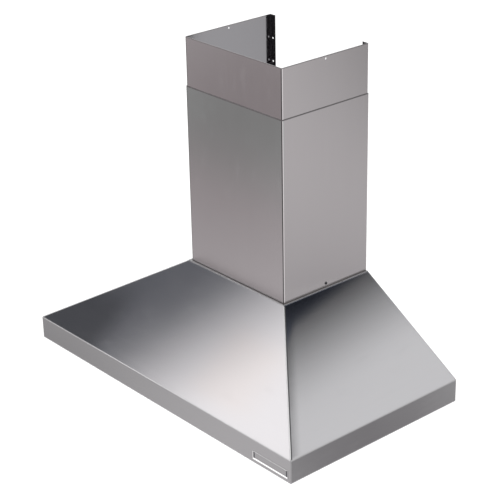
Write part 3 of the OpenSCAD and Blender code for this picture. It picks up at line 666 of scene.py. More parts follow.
@dataclass(frozen=True)
class MotorCore(Finish):
    """Stacked laminations with lacquered copper windings at both ends."""

    metallic: float = 0.85
    roughness: float = 0.45
    edge: float = 0.0
    tones: Pair = (0.6, 1.2)
    depth: float = 0.1 * MM
    strength: float = 0.4
    patterns: tuple[Pattern, ...] = (Pattern(90.0, detail=3.0, rough=0.6, dull=0.1),)
    copper: Colour = (0.55, 0.2, 0.07)
    copper_tones: Pair = (0.45, 1.25)
    copper_gloss: float = 0.15
    turns: float = 260.0
    sheet: float = 0.5 * MM
    middle: float = -40 * MM
    half_stack: Pair = (11.05 * MM, 11.15 * MM)
    steel_stain: float = 0.4
    copper_stain: float = 0.2

    def paint(self, graph: Graph) -> dict[str, object]:
        """Draws the stack's edges, and copper turns past its ends.

        Args:
            graph: The material's nodes.

        Returns:
            What goes into the shader, by the name of its socket.
        """
        place = graph.part(graph.place(), Axis.X)
        edges = (place * (math.tau / self.sheet)).wave() * 0.5 + 0.5
        stain = self.patterns[0]
        stained = stain.value(graph, self.grain)
        settings = {"wave_type": "RINGS", "rings_direction": "X"}
        sockets = {"Vector": graph.place(), "Scale": self.turns}
        rings = graph.node("ShaderNodeTexWave", settings, sockets)
        wound = Value(graph, rings.outputs["Fac"])
        looks = []
        for lines, share, colour, factors in (
            (edges, self.steel_stain, self.colour, self.tones),
            (wound, self.copper_stain, self.copper, self.copper_tones),
        ):
            shade = lines * (1 - share) + stained * share
            looks.append(graph.blend(shade, *(tint(colour, factor) for factor in factors)))
        past = abs(place - self.middle).ramp(*self.half_stack)
        height = edges * (1 - past) + wound * past
        return {
            "Base Color": graph.blend(past, *looks),
            "Roughness": self.roughness - past * self.copper_gloss + stained * stain.dull,
            "Normal": graph.relief(height, self.depth, self.strength, self.edge),
        }


@dataclass(frozen=True)
class CircuitBoard(Finish):
    """Lacquered board with tracks and soldered pads."""

    roughness: float = 0.3
    edge: float = 0.0
    coat: float = 0.4
    tones: Pair = (0.8, 1.9)
    depth: float = 0.1 * MM
    strength: float = 0.5
    patterns: tuple[Pattern, ...] = (Pattern(60.0),)
    solder: Colour = (0.62, 0.6, 0.56)
    solder_metal: float = 0.9
    solder_dull: float = 0.1
    pitch: float = 5 * MM
    pad_jitter: float = 0.15
    pad_edge: Pair = (0.22, 0.18)
    track_bend: float = 5.0
    track_edge: Pair = (0.35, 0.45)
    track_height: float = 0.3

    def paint(self, graph: Graph) -> dict[str, object]:
        """Draws tracks below the lacquer and a field of pads.

        Args:
            graph: The material's nodes.

        Returns:
            What goes into the shader, by the name of its socket.
        """
        sockets = {"Vector": graph.place(), "Scale": 1 / self.pitch, "Randomness": self.pad_jitter}
        cells = graph.node("ShaderNodeTexVoronoi", None, sockets)
        pads = Value(graph, cells.outputs["Distance"]).ramp(*self.pad_edge)
        rows = graph.part(graph.place(), Axis.Y) * (math.pi / self.pitch)
        bend = self.patterns[0].value(graph, self.grain) * self.track_bend
        copper = (rows + bend).wave().ramp(*self.track_edge)
        board = graph.blend(copper, *(tint(self.colour, factor) for factor in self.tones))
        height = pads.most(copper * self.track_height)
        return {
            "Base Color": graph.blend(pads, board, self.solder),
            "Metallic": pads * self.solder_metal,
            "Roughness": self.roughness + pads * self.solder_dull,
            "Normal": graph.relief(height, self.depth, self.strength, self.edge),
        }


STEEL: Colour = (0.417, 0.412, 0.418)
STEEL_UPRIGHT: Colour = (0.434, 0.41, 0.418)
STEEL_FRONT = SlopeSteel("steel_brushed_front", STEEL, grain=Axis.X)
STEEL_SIDES = FlankSteel("steel_brushed_sides", STEEL, grain=Axis.Y)
STEEL_LEDGE = BrushedSteel("steel_ledge", (0.33, 0.325, 0.33), grain=Axis.X)
STEEL_FLUE_LOWER = FoldedSteel("steel_flue_lower", STEEL_UPRIGHT, cool_reflection_tint=(0.88, 0.985, 0.955))
STEEL_FLUE_UPPER = FoldedSteel(
    "steel_flue_upper", STEEL_UPRIGHT, half_width=160.1 * MM, rim_top=776 * MM, rim_shade=0.6
)
STEEL_INSIDE = BrushedSteel("steel_inside", (0.4, 0.4, 0.402), grain=Axis.X, roughness=0.33)
STEEL_FILTER = BrushedSteel(
    "steel_filters", (0.5, 0.5, 0.505), grain=Axis.Y, roughness=0.3, edge=0.3 * MM
)
STEEL_PLATE = BrushedSteel("steel_plate_face", STEEL, grain=Axis.X, roughness=0.26, edge=0.1 * MM)
STEEL_RIM = SatinMetal(
    "steel_plate_rim", (0.72, 0.715, 0.715), roughness=0.13, grain=Axis.Y, edge=0.1 * MM
)
STEEL_HEM = SatinMetal(
    "steel_hem", (0.62, 0.62, 0.62), roughness=0.14, grain=Axis.X, patterns=machined(300.0)
)
# Painted shadow: the dark strip round the flue's foot.
FOOT_SHADOW = SatinPaint("foot_shadow_strip", (0.105, 0.095, 0.092), roughness=0.5, coat=0.0)
# Painted shade: the dark strip that stands for the shaded gap of a joint.
JOINT_SHADE = SatinPaint("painted_joint_shade", (0.035, 0.035, 0.038), roughness=0.55, coat=0.0)
SPRING_STEEL = SatinMetal("spring_steel", (0.34, 0.35, 0.38), roughness=0.32, grain=Axis.X)
ZINC_SHEET = GalvanisedSheet("galvanised_sheet", (0.56, 0.58, 0.6))
ZINC_SCREW = SatinMetal("zinc_plated_screws", (0.52, 0.52, 0.5), roughness=0.34)
DARK_SCREW = SatinMetal("oxide_black_screws", (0.07, 0.07, 0.075), roughness=0.4)
POLISHED = SatinMetal("polished_steel", (0.66, 0.66, 0.67), roughness=0.14)
SATIN_CHROME = SatinMetal(
    "satin_chrome", (0.6, 0.6, 0.62), roughness=0.22, patterns=machined(1200.0)
)
SPUN_SHELL = SatinMetal("spun_aluminium", (0.62, 0.62, 0.64), roughness=0.36)
DRAWN_CAN = SatinMetal("drawn_can", (0.68, 0.68, 0.7), roughness=0.27)
MOTOR_PAINT = SatinPaint("motor_paint", (0.06, 0.065, 0.07))
MOTOR_CORE = MotorCore("motor_core", (0.3, 0.3, 0.32))
BLACK_PLASTIC = MouldedPlastic("black_plastic", (0.025, 0.025, 0.027))
BEZEL_PLASTIC = MouldedPlastic(
    "bezel_plastic", (0.018, 0.018, 0.02), roughness=0.16, strength=0.05, coat=0.5
)
PALE_PLASTIC = MouldedPlastic("terminal_plastic", (0.72, 0.71, 0.66), roughness=0.45)
BUTTON_SILVER = MouldedPlastic(
    "button_silver", (0.42, 0.42, 0.43), roughness=0.3, strength=0.12, metallic=0.5
)
MARK_WHITE = MouldedPlastic("mark_white", (0.8, 0.8, 0.79), roughness=0.5, strength=0.1)
BOARD_GREEN = CircuitBoard("circuit_board", (0.01, 0.09, 0.035))
LENS_GLASS = FrostedGlass("frosted_lens", (0.93, 0.94, 0.95))


def dress(finish: Finish, *names: str) -> None:
    """Gives CAD nodes a finish.

    Args:
        finish: The finish.
        names: Names of the nodes.
    """
    for name in names:
        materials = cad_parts[name].data.materials
        materials.clear()
        materials.append(finish.material())


def placed(name: str, shape: Shape) -> Piece:
    """Turns a shape into an object of the scene.

    Args:
        name: Name of the object.
        shape: Its shape, which is used up.

    Returns:
        The object.
    """
    data = bpy.data.meshes.new(name)
    shape.to_mesh(data)
    shape.free()
    piece = bpy.data.objects.new(name, data)
    bpy.context.scene.collection.objects.link(piece)
    return piece


def mesh_piece(name: str, shape: Shape, finish: Finish, smooth: bool = True) -> Piece:
    """Makes an object of a finished shape.

    Args:
        name: Name of the piece.
        shape: Its shape, which is used up.
        finish: Its finish.
        smooth: Whether faces that meet at a low angle are shaded smooth.

    Returns:
        The piece, linked to the scene.
    """
    bmesh.ops.remove_doubles(shape, verts=shape.verts, dist=WELD)
    bmesh.ops.recalc_face_normals(shape, faces=shape.faces)
    piece = placed(name, shape)
    if smooth:
        piece.data.shade_smooth()
        piece.data.set_sharp_from_angle(angle=SHARP_ANGLE)
    piece.data.materials.append(finish.material())
    return piece


def circle(radius: float, sides: int) -> list[Pair]:
    """Gives the corners of a regular polygon, or its middle alone at a radius of 0."""
    turns = [math.tau * i / sides for i in range(sides if radius else 1)]
    return [(radius * math.cos(turn), radius * math.sin(turn)) for turn in turns]


def lofted(rings: Iterable[Iterable[Point]]) -> Shape:
    """Draws a skin over rings of points, and closes both ends.

    Args:
        rings: Rings of equally many points; an end can be a single point.

    Returns:
        The closed shape.
    """
    shape = bmesh.new()
    lines = [[shape.verts.new(point) for point in ring] for ring in rings]
    sides = max(len(line) for line in lines)
    for low, high in zip(lines, lines[1:]):
        for i in range(sides):
            j = (i + 1) % sides
            corners = [low[i % len(low)], low[j % len(low)]]
            corners += [high[j % len(high)], high[i % len(high)]]
            shape.faces.new(list(dict.fromkeys(corners)))
    for line in (lines[0], lines[-1]):
        if len(line) > 1:
            shape.faces.new(line)
    return shape


def lathe(profile: Iterable[Pair], sides: int) -> Shape:
    """Turns a profile, which is given by radius and height, about Z."""
    return lofted([(x, y, height) for x, y in circle(radius, sides)] for radius, height in profile)


def swept(start: Vector, end: Vector, profile: Iterable[Pair], up: Vector) -> Shape:
    """Draws a profile, which is given sideways and upwards, along a straight line."""
    side = (end - start).normalized().cross(up).normalized()
    return lofted([place + side * a + up * b for a, b in profile] for place in (start, end))


def block(low: Point, high: Point, bevel: float = 0.0) -> Shape:
    """Makes a block with small round edges.

    Args:
        low: Lowest corner.
        high: Highest corner.
        bevel: Radius of its edges, or 0.

    Returns:
        The shape.
    """
    shape = bmesh.new()
    bmesh.ops.create_cube(shape, size=1.0)
    size = [b - a for a, b in zip(low, high)]
    bmesh.ops.scale(shape, vec=size, verts=shape.verts)
    bmesh.ops.translate(shape, vec=[(a + b) / 2 for a, b in zip(low, high)], verts=shape.verts)
    if bevel:
        edges = shape.edges[:]
        bmesh.ops.bevel(shape, geom=edges, offset=bevel, segments=3, profile=0.5, affect="EDGES")
    return shape


def joined(shapes: Iterable[Shape]) -> Shape:
    """Puts several shapes into one.

    Args:
        shapes: Shapes, which are used up.

    Returns:
        The one that holds them all.
    """
    whole = bmesh.new()
    for shape in shapes:
        data = bpy.data.meshes.new("part")
        shape.to_mesh(data)
        shape.free()
        whole.from_mesh(data)
        bpy.data.meshes.remove(data)
    return whole


def carved(shape: Shape, cutter: Shape) -> Shape:
    """Cuts one shape out of another.

    Args:
        shape: Shape that is cut, which is used up.
        cutter: Shape that is taken away, which is used up.

    Returns:
        What is left.
    """
    holders = []
    for name, source in (("carved", shape), ("cutter", cutter)):
        bmesh.ops.recalc_face_normals(source, faces=source.faces)
        holders.append(placed(name, source))
    cut = holders[0].modifiers.new("cut", "BOOLEAN")
    cut.object = holders[1]
    cut.solver = "EXACT"
    graph = bpy.context.evaluated_depsgraph_get()
    result = bpy.data.meshes.new_from_object(holders[0].evaluated_get(graph))
    left = bmesh.new()
    left.from_mesh(result)
    bpy.data.meshes.remove(result)
    for holder in holders:
        data = holder.data
        bpy.data.objects.remove(holder)
        bpy.data.meshes.remove(data)
    return left


class Assembly(ABC):
    """A group of pieces that belong together."""

    def build(self) -> list[Piece]:
        """Makes the pieces that the CAD leaves to the scene; here there are none."""
        return []

    @abstractmethod
    def dress(self) -> None:
        """Gives the CAD nodes of the group their finishes."""


@dataclass(frozen=True)
class ScrewSet:
    """Pan-head screws that stand for one CAD node of plain ones.

    A spot is the way that a screw's head faces, and its place between the ends of the node's box.
    """

    node: str
    spots: Sequence[tuple[Point, Point]]
    length: float = 7 * MM
    finish: Finish = ZINC_SCREW
    head_radius: float = 3.6 * MM
    head_height: float = 1.8 * MM
    dome: Sequence[Pair] = (
        (0.0, 1.0), (0.3, 0.99), (0.55, 0.93), (0.76, 0.8),
        (0.9, 0.58), (0.98, 0.28), (1.0, 0.12), (0.97, 0.0),
    )
    neck: float = 0.3 * MM
    shank_radius: float = 1.9 * MM
    thread_root: float = 1.482 * MM
    thread_pitch: float = 1.0 * MM
    tip_radius: float = 1.33 * MM
    recess_width: float = 0.9 * MM
    recess_length: float = 3.8 * MM
    recess_depth: float = 1.1 * MM
    cutter_top: float = 2.7 * MM
    sides: int = 40
    first_twist: float = 17.0
    next_twist: float = 29.0

    def _profile(self) -> list[Pair]:
        """Works out the outline of the domed head and the threaded shank.

        Returns:
            Radius and height of each point.
        """
        outline = [(r * self.head_radius, h * self.head_height) for r, h in self.dome]
        outline.append((self.shank_radius, 0.0))
        for turn in range(int((self.length - self.neck) / self.thread_pitch)):
            top = -self.neck - turn * self.thread_pitch
            outline.append((self.thread_root, top))
            outline.append((self.shank_radius, top - self.thread_pitch / 2))
        return outline + [(self.tip_radius, -self.length), (0.0, -self.length)]

    def _one(self) -> Shape:
        """Makes one screw.

        Returns:
            Its shape, with the head up and the seat at Z = 0.
        """
        half, width = self.recess_length / 2, self.recess_width / 2
        floor = self.head_height - self.recess_depth
        screw = lathe(self._profile(), self.sides)
        for x, y in ((half, width), (width, half)):
            screw = carved(screw, block((-x, -y, floor), (x, y, self.cutter_top)))
        return screw

    def _moved(self, way: Point, share: Point) -> Matrix:
        """Works out how a screw is moved to its spot.

        Args:
            way: The way that its head faces.
            share: Its place in the node's box, from 0 to 1 along each axis.

        Returns:
            The move.
        """
        low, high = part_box(self.node)
        inset = Vector([self.head_height if part else self.head_radius for part in way])
        ends = zip(low + inset, high - inset, share)
        seat = Vector([first + (last - first) * part for first, last, part in ends])
        lean = Vector(way).to_track_quat("Z", "Y").to_matrix().to_4x4()
        return Matrix.Translation(seat) @ lean

    def build(self) -> Piece:
        """Places the screws, each with its recess turned another way.

        Returns:
            The piece that holds them all.
        """
        shapes = []
        for i, spot in enumerate(self.spots):
            shape = self._one()
            twist = Matrix.Rotation(math.radians(self.first_twist + self.next_twist * i), 4, "Z")
            shape.transform(self._moved(*spot) @ twist)
            shapes.append(shape)
        piece = mesh_piece(f"{self.node}_pan_heads", joined(shapes), self.finish)
        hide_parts(self.node)
        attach(piece, ROOT_BODY)
        return piece


UP, DOWN, LEFT, RIGHT, FRONT = (0, 0, 1), (0, 0, -1), (-1, 0, 0), (1, 0, 0), (0, -1, 0)
COLLAR_SPOTS = [(UP, (x, y, 1)) for x, y in ((1, 0.5), (0.5, 1), (0, 0.5), (0.5, 0))]
BLOWER_SPOTS = [(DOWN, (x, y, 0)) for x in (0, 1) for y in (0, 1)]
BRACKET_SPOTS = [(LEFT, (0, y, z)) for y, z in ((0.5, 1), (0, 0), (1, 0))]
BOX_SPOTS = [(FRONT, (x, 0, 0.5)) for x in (0, 1)]
FOOT_SPOTS = [(LEFT, (0, 0.5, 0.5)), (RIGHT, (1, 0.5, 0.5))]


@dataclass(frozen=True)
class Canopy(Assembly):
    """The pyramid canopy with its bare plate."""

    rim_width: float = 0.7 * MM
    slope_width: float = 1.3 * MM
    sill_width: float = 2.6 * MM
    slope_depth: float = 1.1 * MM
    bevel: float = 0.2 * MM
    face_lap: float = 0.5 * MM
    end_shadow: float = 3.8 * MM
    end_shadow_proud: float = 0.1 * MM
    fascia_height: float = 55 * MM
    crown_half: float = 167.5 * MM
    crown_front: float = -12 * MM
    hip_insets: Pair = (4 * MM, 1 * MM)
    bead_radius: float = 1.3 * MM
    bead_depth: float = 0.75 * MM
    bead_sides: int = 24
    seam_start: float = 1 * MM
    seam_width: float = 2.6 * MM
    seam_proud: float = 0.3 * MM

    def _window(self, low: Point, high: Point) -> Shape:
        """Makes the cutter of the rim, which widens towards the front of the plate.

        Args:
            low: Lowest corner at the back.
            high: Highest corner at the back.

        Returns:
            Its shape.
        """
        rings = []
        front, deep = low[1], self.slope_depth
        # The slope has its full width at the plate's front, half way to the last ring.
        for y, grow in ((high[1] + MM, 0), (front + deep, 0), (front - deep, 2)):
            side, sill = grow * self.slope_width, grow * self.sill_width
            x0, x1, z0, z1 = low[0] - side, high[0] + side, low[2] - sill, high[2] + side
            rings.append([(x0, y, z0), (x1, y, z0), (x1, y, z1), (x0, y, z1)])
        return lofted(rings)

    def _plate(self) -> list[Piece]:
        """Makes the plate's raised rim, its bare face and the dark strips of painted shadow at both
        ends.

        Returns:
            The three pieces.
        """
        low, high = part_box("badge_plate")
        inset, sill = self.rim_width + self.slope_width, self.rim_width + self.sill_width
        x0, z0 = low.x + inset, low.z + sill
        x1, z1 = high.x - inset, high.z - inset
        front, lap, proud = low.y + self.slope_depth, self.face_lap, self.end_shadow_proud
        window = self._window((x0, low.y, z0), (x1, high.y, z1))
        rim = carved(block(tuple(low), tuple(high), self.bevel), window)
        face = block((x0 - lap, front, z0 - lap), (x1 + lap, high.y, z1 + lap))
        # Dark strips of painted shadow at both ends of the face.
        marks = joined(
            block((x, front - proud, z0), (x + self.end_shadow, front + proud, z1))
            for x in (x0, x1 - self.end_shadow)
        )
        pieces = [
            mesh_piece("plate_rim", rim, STEEL_RIM, smooth=False),
            mesh_piece("plate_face", face, STEEL_PLATE, smooth=False),
            mesh_piece("plate_end_shadows", marks, BLACK_PLASTIC, smooth=False),
        ]
        for piece in pieces:
            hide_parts("badge_plate")
            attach(piece, ROOT_BODY)
        return pieces

    def _hips(self) -> list[Piece]:
        """Makes the rounded hem of each hip, and a dark strip of painted shade for the joint behind
        it.

        Returns:
            A hem and a joint for each side.
        """
        low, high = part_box("canopy_front_panel")
        rise, run = high.z - self.fascia_height, self.crown_front - low.y
        bead = [(x, y - self.bead_depth) for x, y in circle(self.bead_radius, self.bead_sides)]
        proud = self.seam_proud
        pieces = []
        for side, name in ((-1, "left"), (1, "right")):
            start = Vector((side * high.x, low.y, self.fascia_height))
            end = Vector((side * self.crown_half, self.crown_front, high.z))
            way = (end - start).normalized()
            start, end = start + way * self.hip_insets[0], end - way * self.hip_insets[1]
            front = Vector((0, -rise, run)).normalized()
            flank = Vector((side * rise, 0, high.x - self.crown_half)).normalized()
            hem = swept(start, end, bead, (front + flank).normalized())
            # A dark strip of painted shade along each joint.
            near, far = side * self.seam_start, side * (self.seam_start + self.seam_width)
            strip = [(near, -proud), (far, -proud), (far, proud), (near, proud)]
            joint = swept(start, end, strip, flank)
            pieces.append(mesh_piece(f"hip_hem_{name}", hem, STEEL_HEM))
            pieces.append(mesh_piece(f"hip_joint_shade_{name}", joint, JOINT_SHADE, smooth=False))
        for piece in pieces:
            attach(piece, ROOT_BODY)
        return pieces

    def build(self) -> list[Piece]:
        """Makes the plate and the hips' hems."""
        return self._plate() + self._hips()

    def dress(self) -> None:
        """Brushes each sheet along its own length."""
        dress(STEEL_FRONT, "canopy_front_panel")
        dress(STEEL_LEDGE, "canopy_top_plate")
        dress(STEEL_SIDES, "canopy_left_panel", "canopy_right_panel")
        dress(STEEL_INSIDE, "canopy_back_panel", "underside_pan")


@dataclass(frozen=True)
class Flue(Assembly):
    """The two telescoping covers, the screws at their foot and the dark strip of painted shadow
    below it.
    """

    foot_shadow_height: float = 1.1 * MM
    foot_shadow_proud: float = 0.3 * MM

    def _foot_strip(self) -> Piece:
        """Makes the dark strip of painted shadow round the flue's foot, on its front and both
        sides.

        Returns:
            The strip.
        """
        low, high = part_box("flue_lower_cover")
        proud, top = self.foot_shadow_proud, low.z + self.foot_shadow_height
        rear = low.y + proud
        walls = [((low.x - proud, low.y - proud, low.z), (high.x + proud, rear, top))]
        walls += [((x - proud, rear, low.z), (x + proud, high.y, top)) for x in (low.x, high.x)]
        # A dark strip of painted shadow round the foot.
        shape = joined(block(*wall) for wall in walls)
        strip = mesh_piece("flue_foot_shadow", shape, FOOT_SHADOW, smooth=False)
        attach(strip, ROOT_BODY)
        return strip

    def build(self) -> list[Piece]:
        """Makes the two foot screws and the strip of painted shadow."""
        screws = ScrewSet("flue_foot_screws", FOOT_SPOTS, finish=DARK_SCREW)
        return [screws.build(), self._foot_strip()]

    def dress(self) -> None:
        """Brushes both covers upright."""
        dress(STEEL_FLUE_LOWER, "flue_lower_cover")
        dress(STEEL_FLUE_UPPER, "flue_upper_cover")


@dataclass(frozen=True)
class AirPath(Assembly):
    """Blower, motor, duct collar and damper."""

    bracket_screw_length: float = 6 * MM

    def build(self) -> list[Piece]:
        """Makes every screw of the air path.

        Returns:
            One piece for each set.
        """
        sets = (
            ScrewSet("collar_screws", COLLAR_SPOTS),
            ScrewSet("blower_screws", BLOWER_SPOTS),
            ScrewSet("motor_bracket_screws", BRACKET_SPOTS, self.bracket_screw_length),
        )
        return [screws.build() for screws in sets]

    def dress(self) -> None:
        """Gives the sheet parts their zinc and the motor its paint."""
        dress(
            ZINC_SHEET, "duct_collar", "damper_front_flap", "damper_rear_flap", "blower_scroll",
            "blower_left_plate", "blower_right_plate", "blower_wheel", "motor_bracket", "wheel_nut",
        )
        dress(ZINC_SCREW, "damper_pin")
        dress(MOTOR_PAINT, "motor_case", "motor_end_cap")
        dress(MOTOR_CORE, "motor_stator", "motor_rotor")
        dress(POLISHED, "motor_shaft", "motor_bearings")


class Electrics(Assembly):
    """Wiring box, capacitor and gland."""

    def build(self) -> list[Piece]:
        """Makes the screws of the box's cover."""
        return [ScrewSet("box_cover_screws", BOX_SPOTS).build()]

    def dress(self) -> None:
        """Gives box, block, can and gland their finishes."""
        dress(ZINC_SHEET, "wiring_box", "wiring_box_cover", "capacitor_clip")
        dress(DRAWN_CAN, "run_capacitor")
        dress(PALE_PLASTIC, "terminal_block")
        dress(BLACK_PLASTIC, "cable_gland")


class Mark(Enum):
    """Generic sign on a push button."""

    OFF = "off"
    LOW = "low"
    MEDIUM = "medium"
    HIGH = "high"
    LIGHT = "light"


@dataclass(frozen=True)
class Controls(Assembly):
    """Push buttons with their bezel, housing and board."""

    proud: float = 0.05 * MM
    sunk: float = 0.25 * MM
    bar_width: float = 1.3 * MM
    bar_gap: float = 2.6 * MM
    bar_length: float = 6 * MM
    ring_radii: Pair = (2.6 * MM, 1.8 * MM)
    ring_sides: int = 36
    disc_radius: float = 1.43 * MM
    disc_sides: int = 28
    rays: int = 8
    ray_ends: Pair = (2.21 * MM, 3.77 * MM)
    ray_width: float = 0.8 / 1.5 * MM

    @staticmethod
    def _disc(radius: float, low: float, high: float, sides: int) -> Shape:
        """Makes a flat disc between two heights."""
        return lathe([(0, low), (radius, low), (radius, high), (0, high)], sides)

    def _bars(self, count: int) -> list[Shape]:
        """Makes a row of upright bars, one for each fan speed.

        Args:
            count: How many.

        Returns:
            The bars.
        """
        half, width = self.bar_length / 2, self.bar_width / 2
        places = [(i - (count - 1) / 2) * self.bar_gap for i in range(count)]
        return [
            block((x - width, -half, 0), (x + width, half, self.sunk), self.proud) for x in places
        ]

    def _ring(self) -> list[Shape]:
        """Makes a flat ring.

        Returns:
            The ring alone.
        """
        outer, inner = self.ring_radii
        disc = self._disc(outer, 0, self.sunk, self.ring_sides)
        return [carved(disc, self._disc(inner, -self.sunk, 2 * self.sunk, self.ring_sides))]

    def _lamp(self) -> list[Shape]:
        """Makes short rays round a disc.

        Returns:
            The disc and the rays.
        """
        (start, end), half = self.ray_ends, self.ray_width / 2
        shapes = [self._disc(self.disc_radius, 0, self.sunk, self.disc_sides)]
        for i in range(self.rays):
            ray = block((start, -half, 0), (end, half, self.sunk))
            ray.transform(Matrix.Rotation(math.tau * i / self.rays, 4, "Z"))
            shapes.append(ray)
        return shapes

    def _sign(self, mark: Mark) -> Shape:
        """Makes a sign about the origin.

        Args:
            mark: Which sign.

        Returns:
            Its shape.
        """
        shapes: dict[Mark, Callable[[], list[Shape]]] = {
            Mark.OFF: self._ring,
            Mark.LOW: lambda: self._bars(1),
            Mark.MEDIUM: lambda: self._bars(2),
            Mark.HIGH: lambda: self._bars(3),
            Mark.LIGHT: self._lamp,
        }
        return joined(shapes[mark]())

    def build(self) -> list[Piece]:
        """Inlays a sign in each button's face.

        Returns:
            The signs.
        """
        signs = []
        for mark in Mark:
            node = f"button_{mark.value}"
            low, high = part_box(node)
            place = ((low.x + high.x) / 2, (low.y + high.y) / 2, low.z - self.proud)
            shape = self._sign(mark)
            shape.transform(Matrix.Translation(place))
            sign = mesh_piece(f"sign_{mark.value}", shape, MARK_WHITE, smooth=False)
            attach(sign, node)
            signs.append(sign)
        return signs

    def dress(self) -> None:
        """Gives the controls their plastics."""
        dress(BEZEL_PLASTIC, "control_bezel")
        dress(BLACK_PLASTIC, "switch_housing")
        dress(BOARD_GREEN, "switch_board")
        dress(BUTTON_SILVER, *(f"button_{mark.value}" for mark in Mark))


class Lamps(Assembly):
    """The two lamps in the front strip."""

    def dress(self) -> None:
        """Gives trims, lenses and shells their finishes."""
        for side in ("left", "right"):
            dress(SATIN_CHROME, f"lamp_{side}_trim")
            dress(LENS_GLASS, f"lamp_{side}_lens")
            dress(SPUN_SHELL, f"lamp_{side}_body")


class Filters(Assembly):
    """Three baffle filters with their pulls, and the springs that hold them."""

    def dress(self) -> None:
        """Gives frames, baffles, pulls and springs their finishes."""
        for side in ("left", "middle", "right"):
            dress(STEEL_FILTER, f"filter_{side}_frame", f"filter_{side}_baffles")
            dress(POLISHED, f"filter_{side}_pull")
        dress(SPRING_STEEL, "filter_clips")


def ground_sheet(name: str, low: Point, high: Point) -> tuple[Piece, Graph]:
    """Makes a level rectangle of the studio.

    Args:
        name: Name of the sheet.
        low: Its lowest corner.
        high: Its highest corner, at the same height.

    Returns:
        The sheet, as part of the studio, and its material's empty graph.
    """
    shape = bmesh.new()
    corners = [(low[0], low[1]), (high[0], low[1]), (high[0], high[1]), (low[0], high[1])]
    shape.faces.new([shape.verts.new((x, y, low[2])) for x, y in corners])
    sheet = placed(name, shape)
    material = bpy.data.materials.new(name)
    material.use_nodes = True
    sheet.data.materials.append(material)
    return sheet, Graph(material.node_tree)


def compass(azimuth: float, elevation: float) -> Point:
    """Gives the direction at an angle from the front and a height, both in degrees."""
    turn, rise = math.radians(azimuth), math.radians(elevation)
    return (math.sin(turn) * math.cos(rise), -math.cos(turn) * math.cos(rise), math.sin(rise))


@dataclass(frozen=True)
class Scrim:
    """A lit sheet overhead, alike to the left and right, that shows only in reflections."""

    name: str
    height: float
    across: Pair
    depth: Pair
    slope: Pair
    dark_at: float
    bright_at: float
    dark: Colour
    bright: Colour
    fade: float = 0.3

    def _within(self, place: Value, span: Pair) -> Value:
        """Gives 1 inside a span, and fades to 0 at its ends."""
        start = place.ramp(span[0] - self.fade / 2, span[0] + self.fade / 2)
        return start * place.ramp(span[1] + self.fade / 2, span[1] - self.fade / 2)

    def build(self) -> None:
        """Hangs the sheet."""
        reach = self.across[1] + self.fade
        low = (-reach, self.depth[0] - self.fade, self.height)
        high = (reach, self.depth[1] + self.fade, self.height)
        sheet, graph = ground_sheet(self.name, low, high)
        place = graph.place()
        across, depth = abs(graph.part(place, Axis.X)), graph.part(place, Axis.Y)
        share = across * self.slope[0] + depth * self.slope[1]
        share = share.ramp(self.dark_at, self.bright_at, straight=True)
        colour = graph.blend(share, self.dark, self.bright)
        light = graph.node("ShaderNodeEmission", None, {"Color": colour})
        clear = graph.node("ShaderNodeBsdfTransparent")
        cover = self._within(across, self.across) * self._within(depth, self.depth)
        shown = graph.mixed(cover, clear, light)
        graph.node("ShaderNodeOutputMaterial", None, {"Surface": shown})
        sheet.visible_camera = False
        sheet.visible_diffuse = False
        sheet.visible_shadow = False


@dataclass(frozen=True)
class Glow:
    """A soft lamp or card in the surroundings, by compass angle and height in degrees."""

    azimuth: float
    elevation: float
    sharpness: float
    colour: Colour
    centred: float = 0.01

    def directions(self) -> list[Point]:
        """Works out where it stands.

        Returns:
            Its direction and the mirrored one, so that both sides of the hood are lit alike.
        """
        x, y, z = compass(self.azimuth, self.elevation)
        sides = (1,) if abs(x) < self.centred else (1, -1)
        return [(side * x, y, z) for side in sides]


@dataclass(frozen=True)
class Camera:
    """The photograph's camera, with places in widths of the hood and its focus in pixels."""

    azimuth: float = 49.32
    elevation: float = 24.53
    roll: float = -1.14
    aside: float = 0.235
    above: float = 0.388
    distance: float = 3.982
    depth_offset: float = 0.28
    hood_width: float = 0.9
    focal: float = 1580.7
    image: float = 500.0
    sensor: float = 36.0

    def build(self) -> None:
        """Stands the camera where the photograph was taken from."""
        turn, roll = math.radians(self.azimuth), math.radians(self.roll)
        level = Vector((math.cos(turn), math.sin(turn), 0.0))
        back = Vector(compass(self.azimuth, self.elevation))
        upright = back.cross(level)
        right = math.cos(roll) * level + math.sin(roll) * upright
        up = -math.sin(roll) * level + math.cos(roll) * upright
        axes = Matrix((right, up, back)).transposed()
        place = axes @ Vector((self.aside, self.above, self.distance))
        place = (place - Vector((0.0, self.depth_offset, 0.0))) * self.hood_width
        data = bpy.data.cameras.new("camera")
        data.sensor_width = self.sensor
        data.lens = self.focal * self.sensor / self.image
        camera = bpy.data.objects.new("camera", data)
        camera.matrix_world = Matrix.Translation(place) @ axes.to_4x4()
        bpy.context.scene.collection.objects.link(camera)
        bpy.context.scene.camera = camera


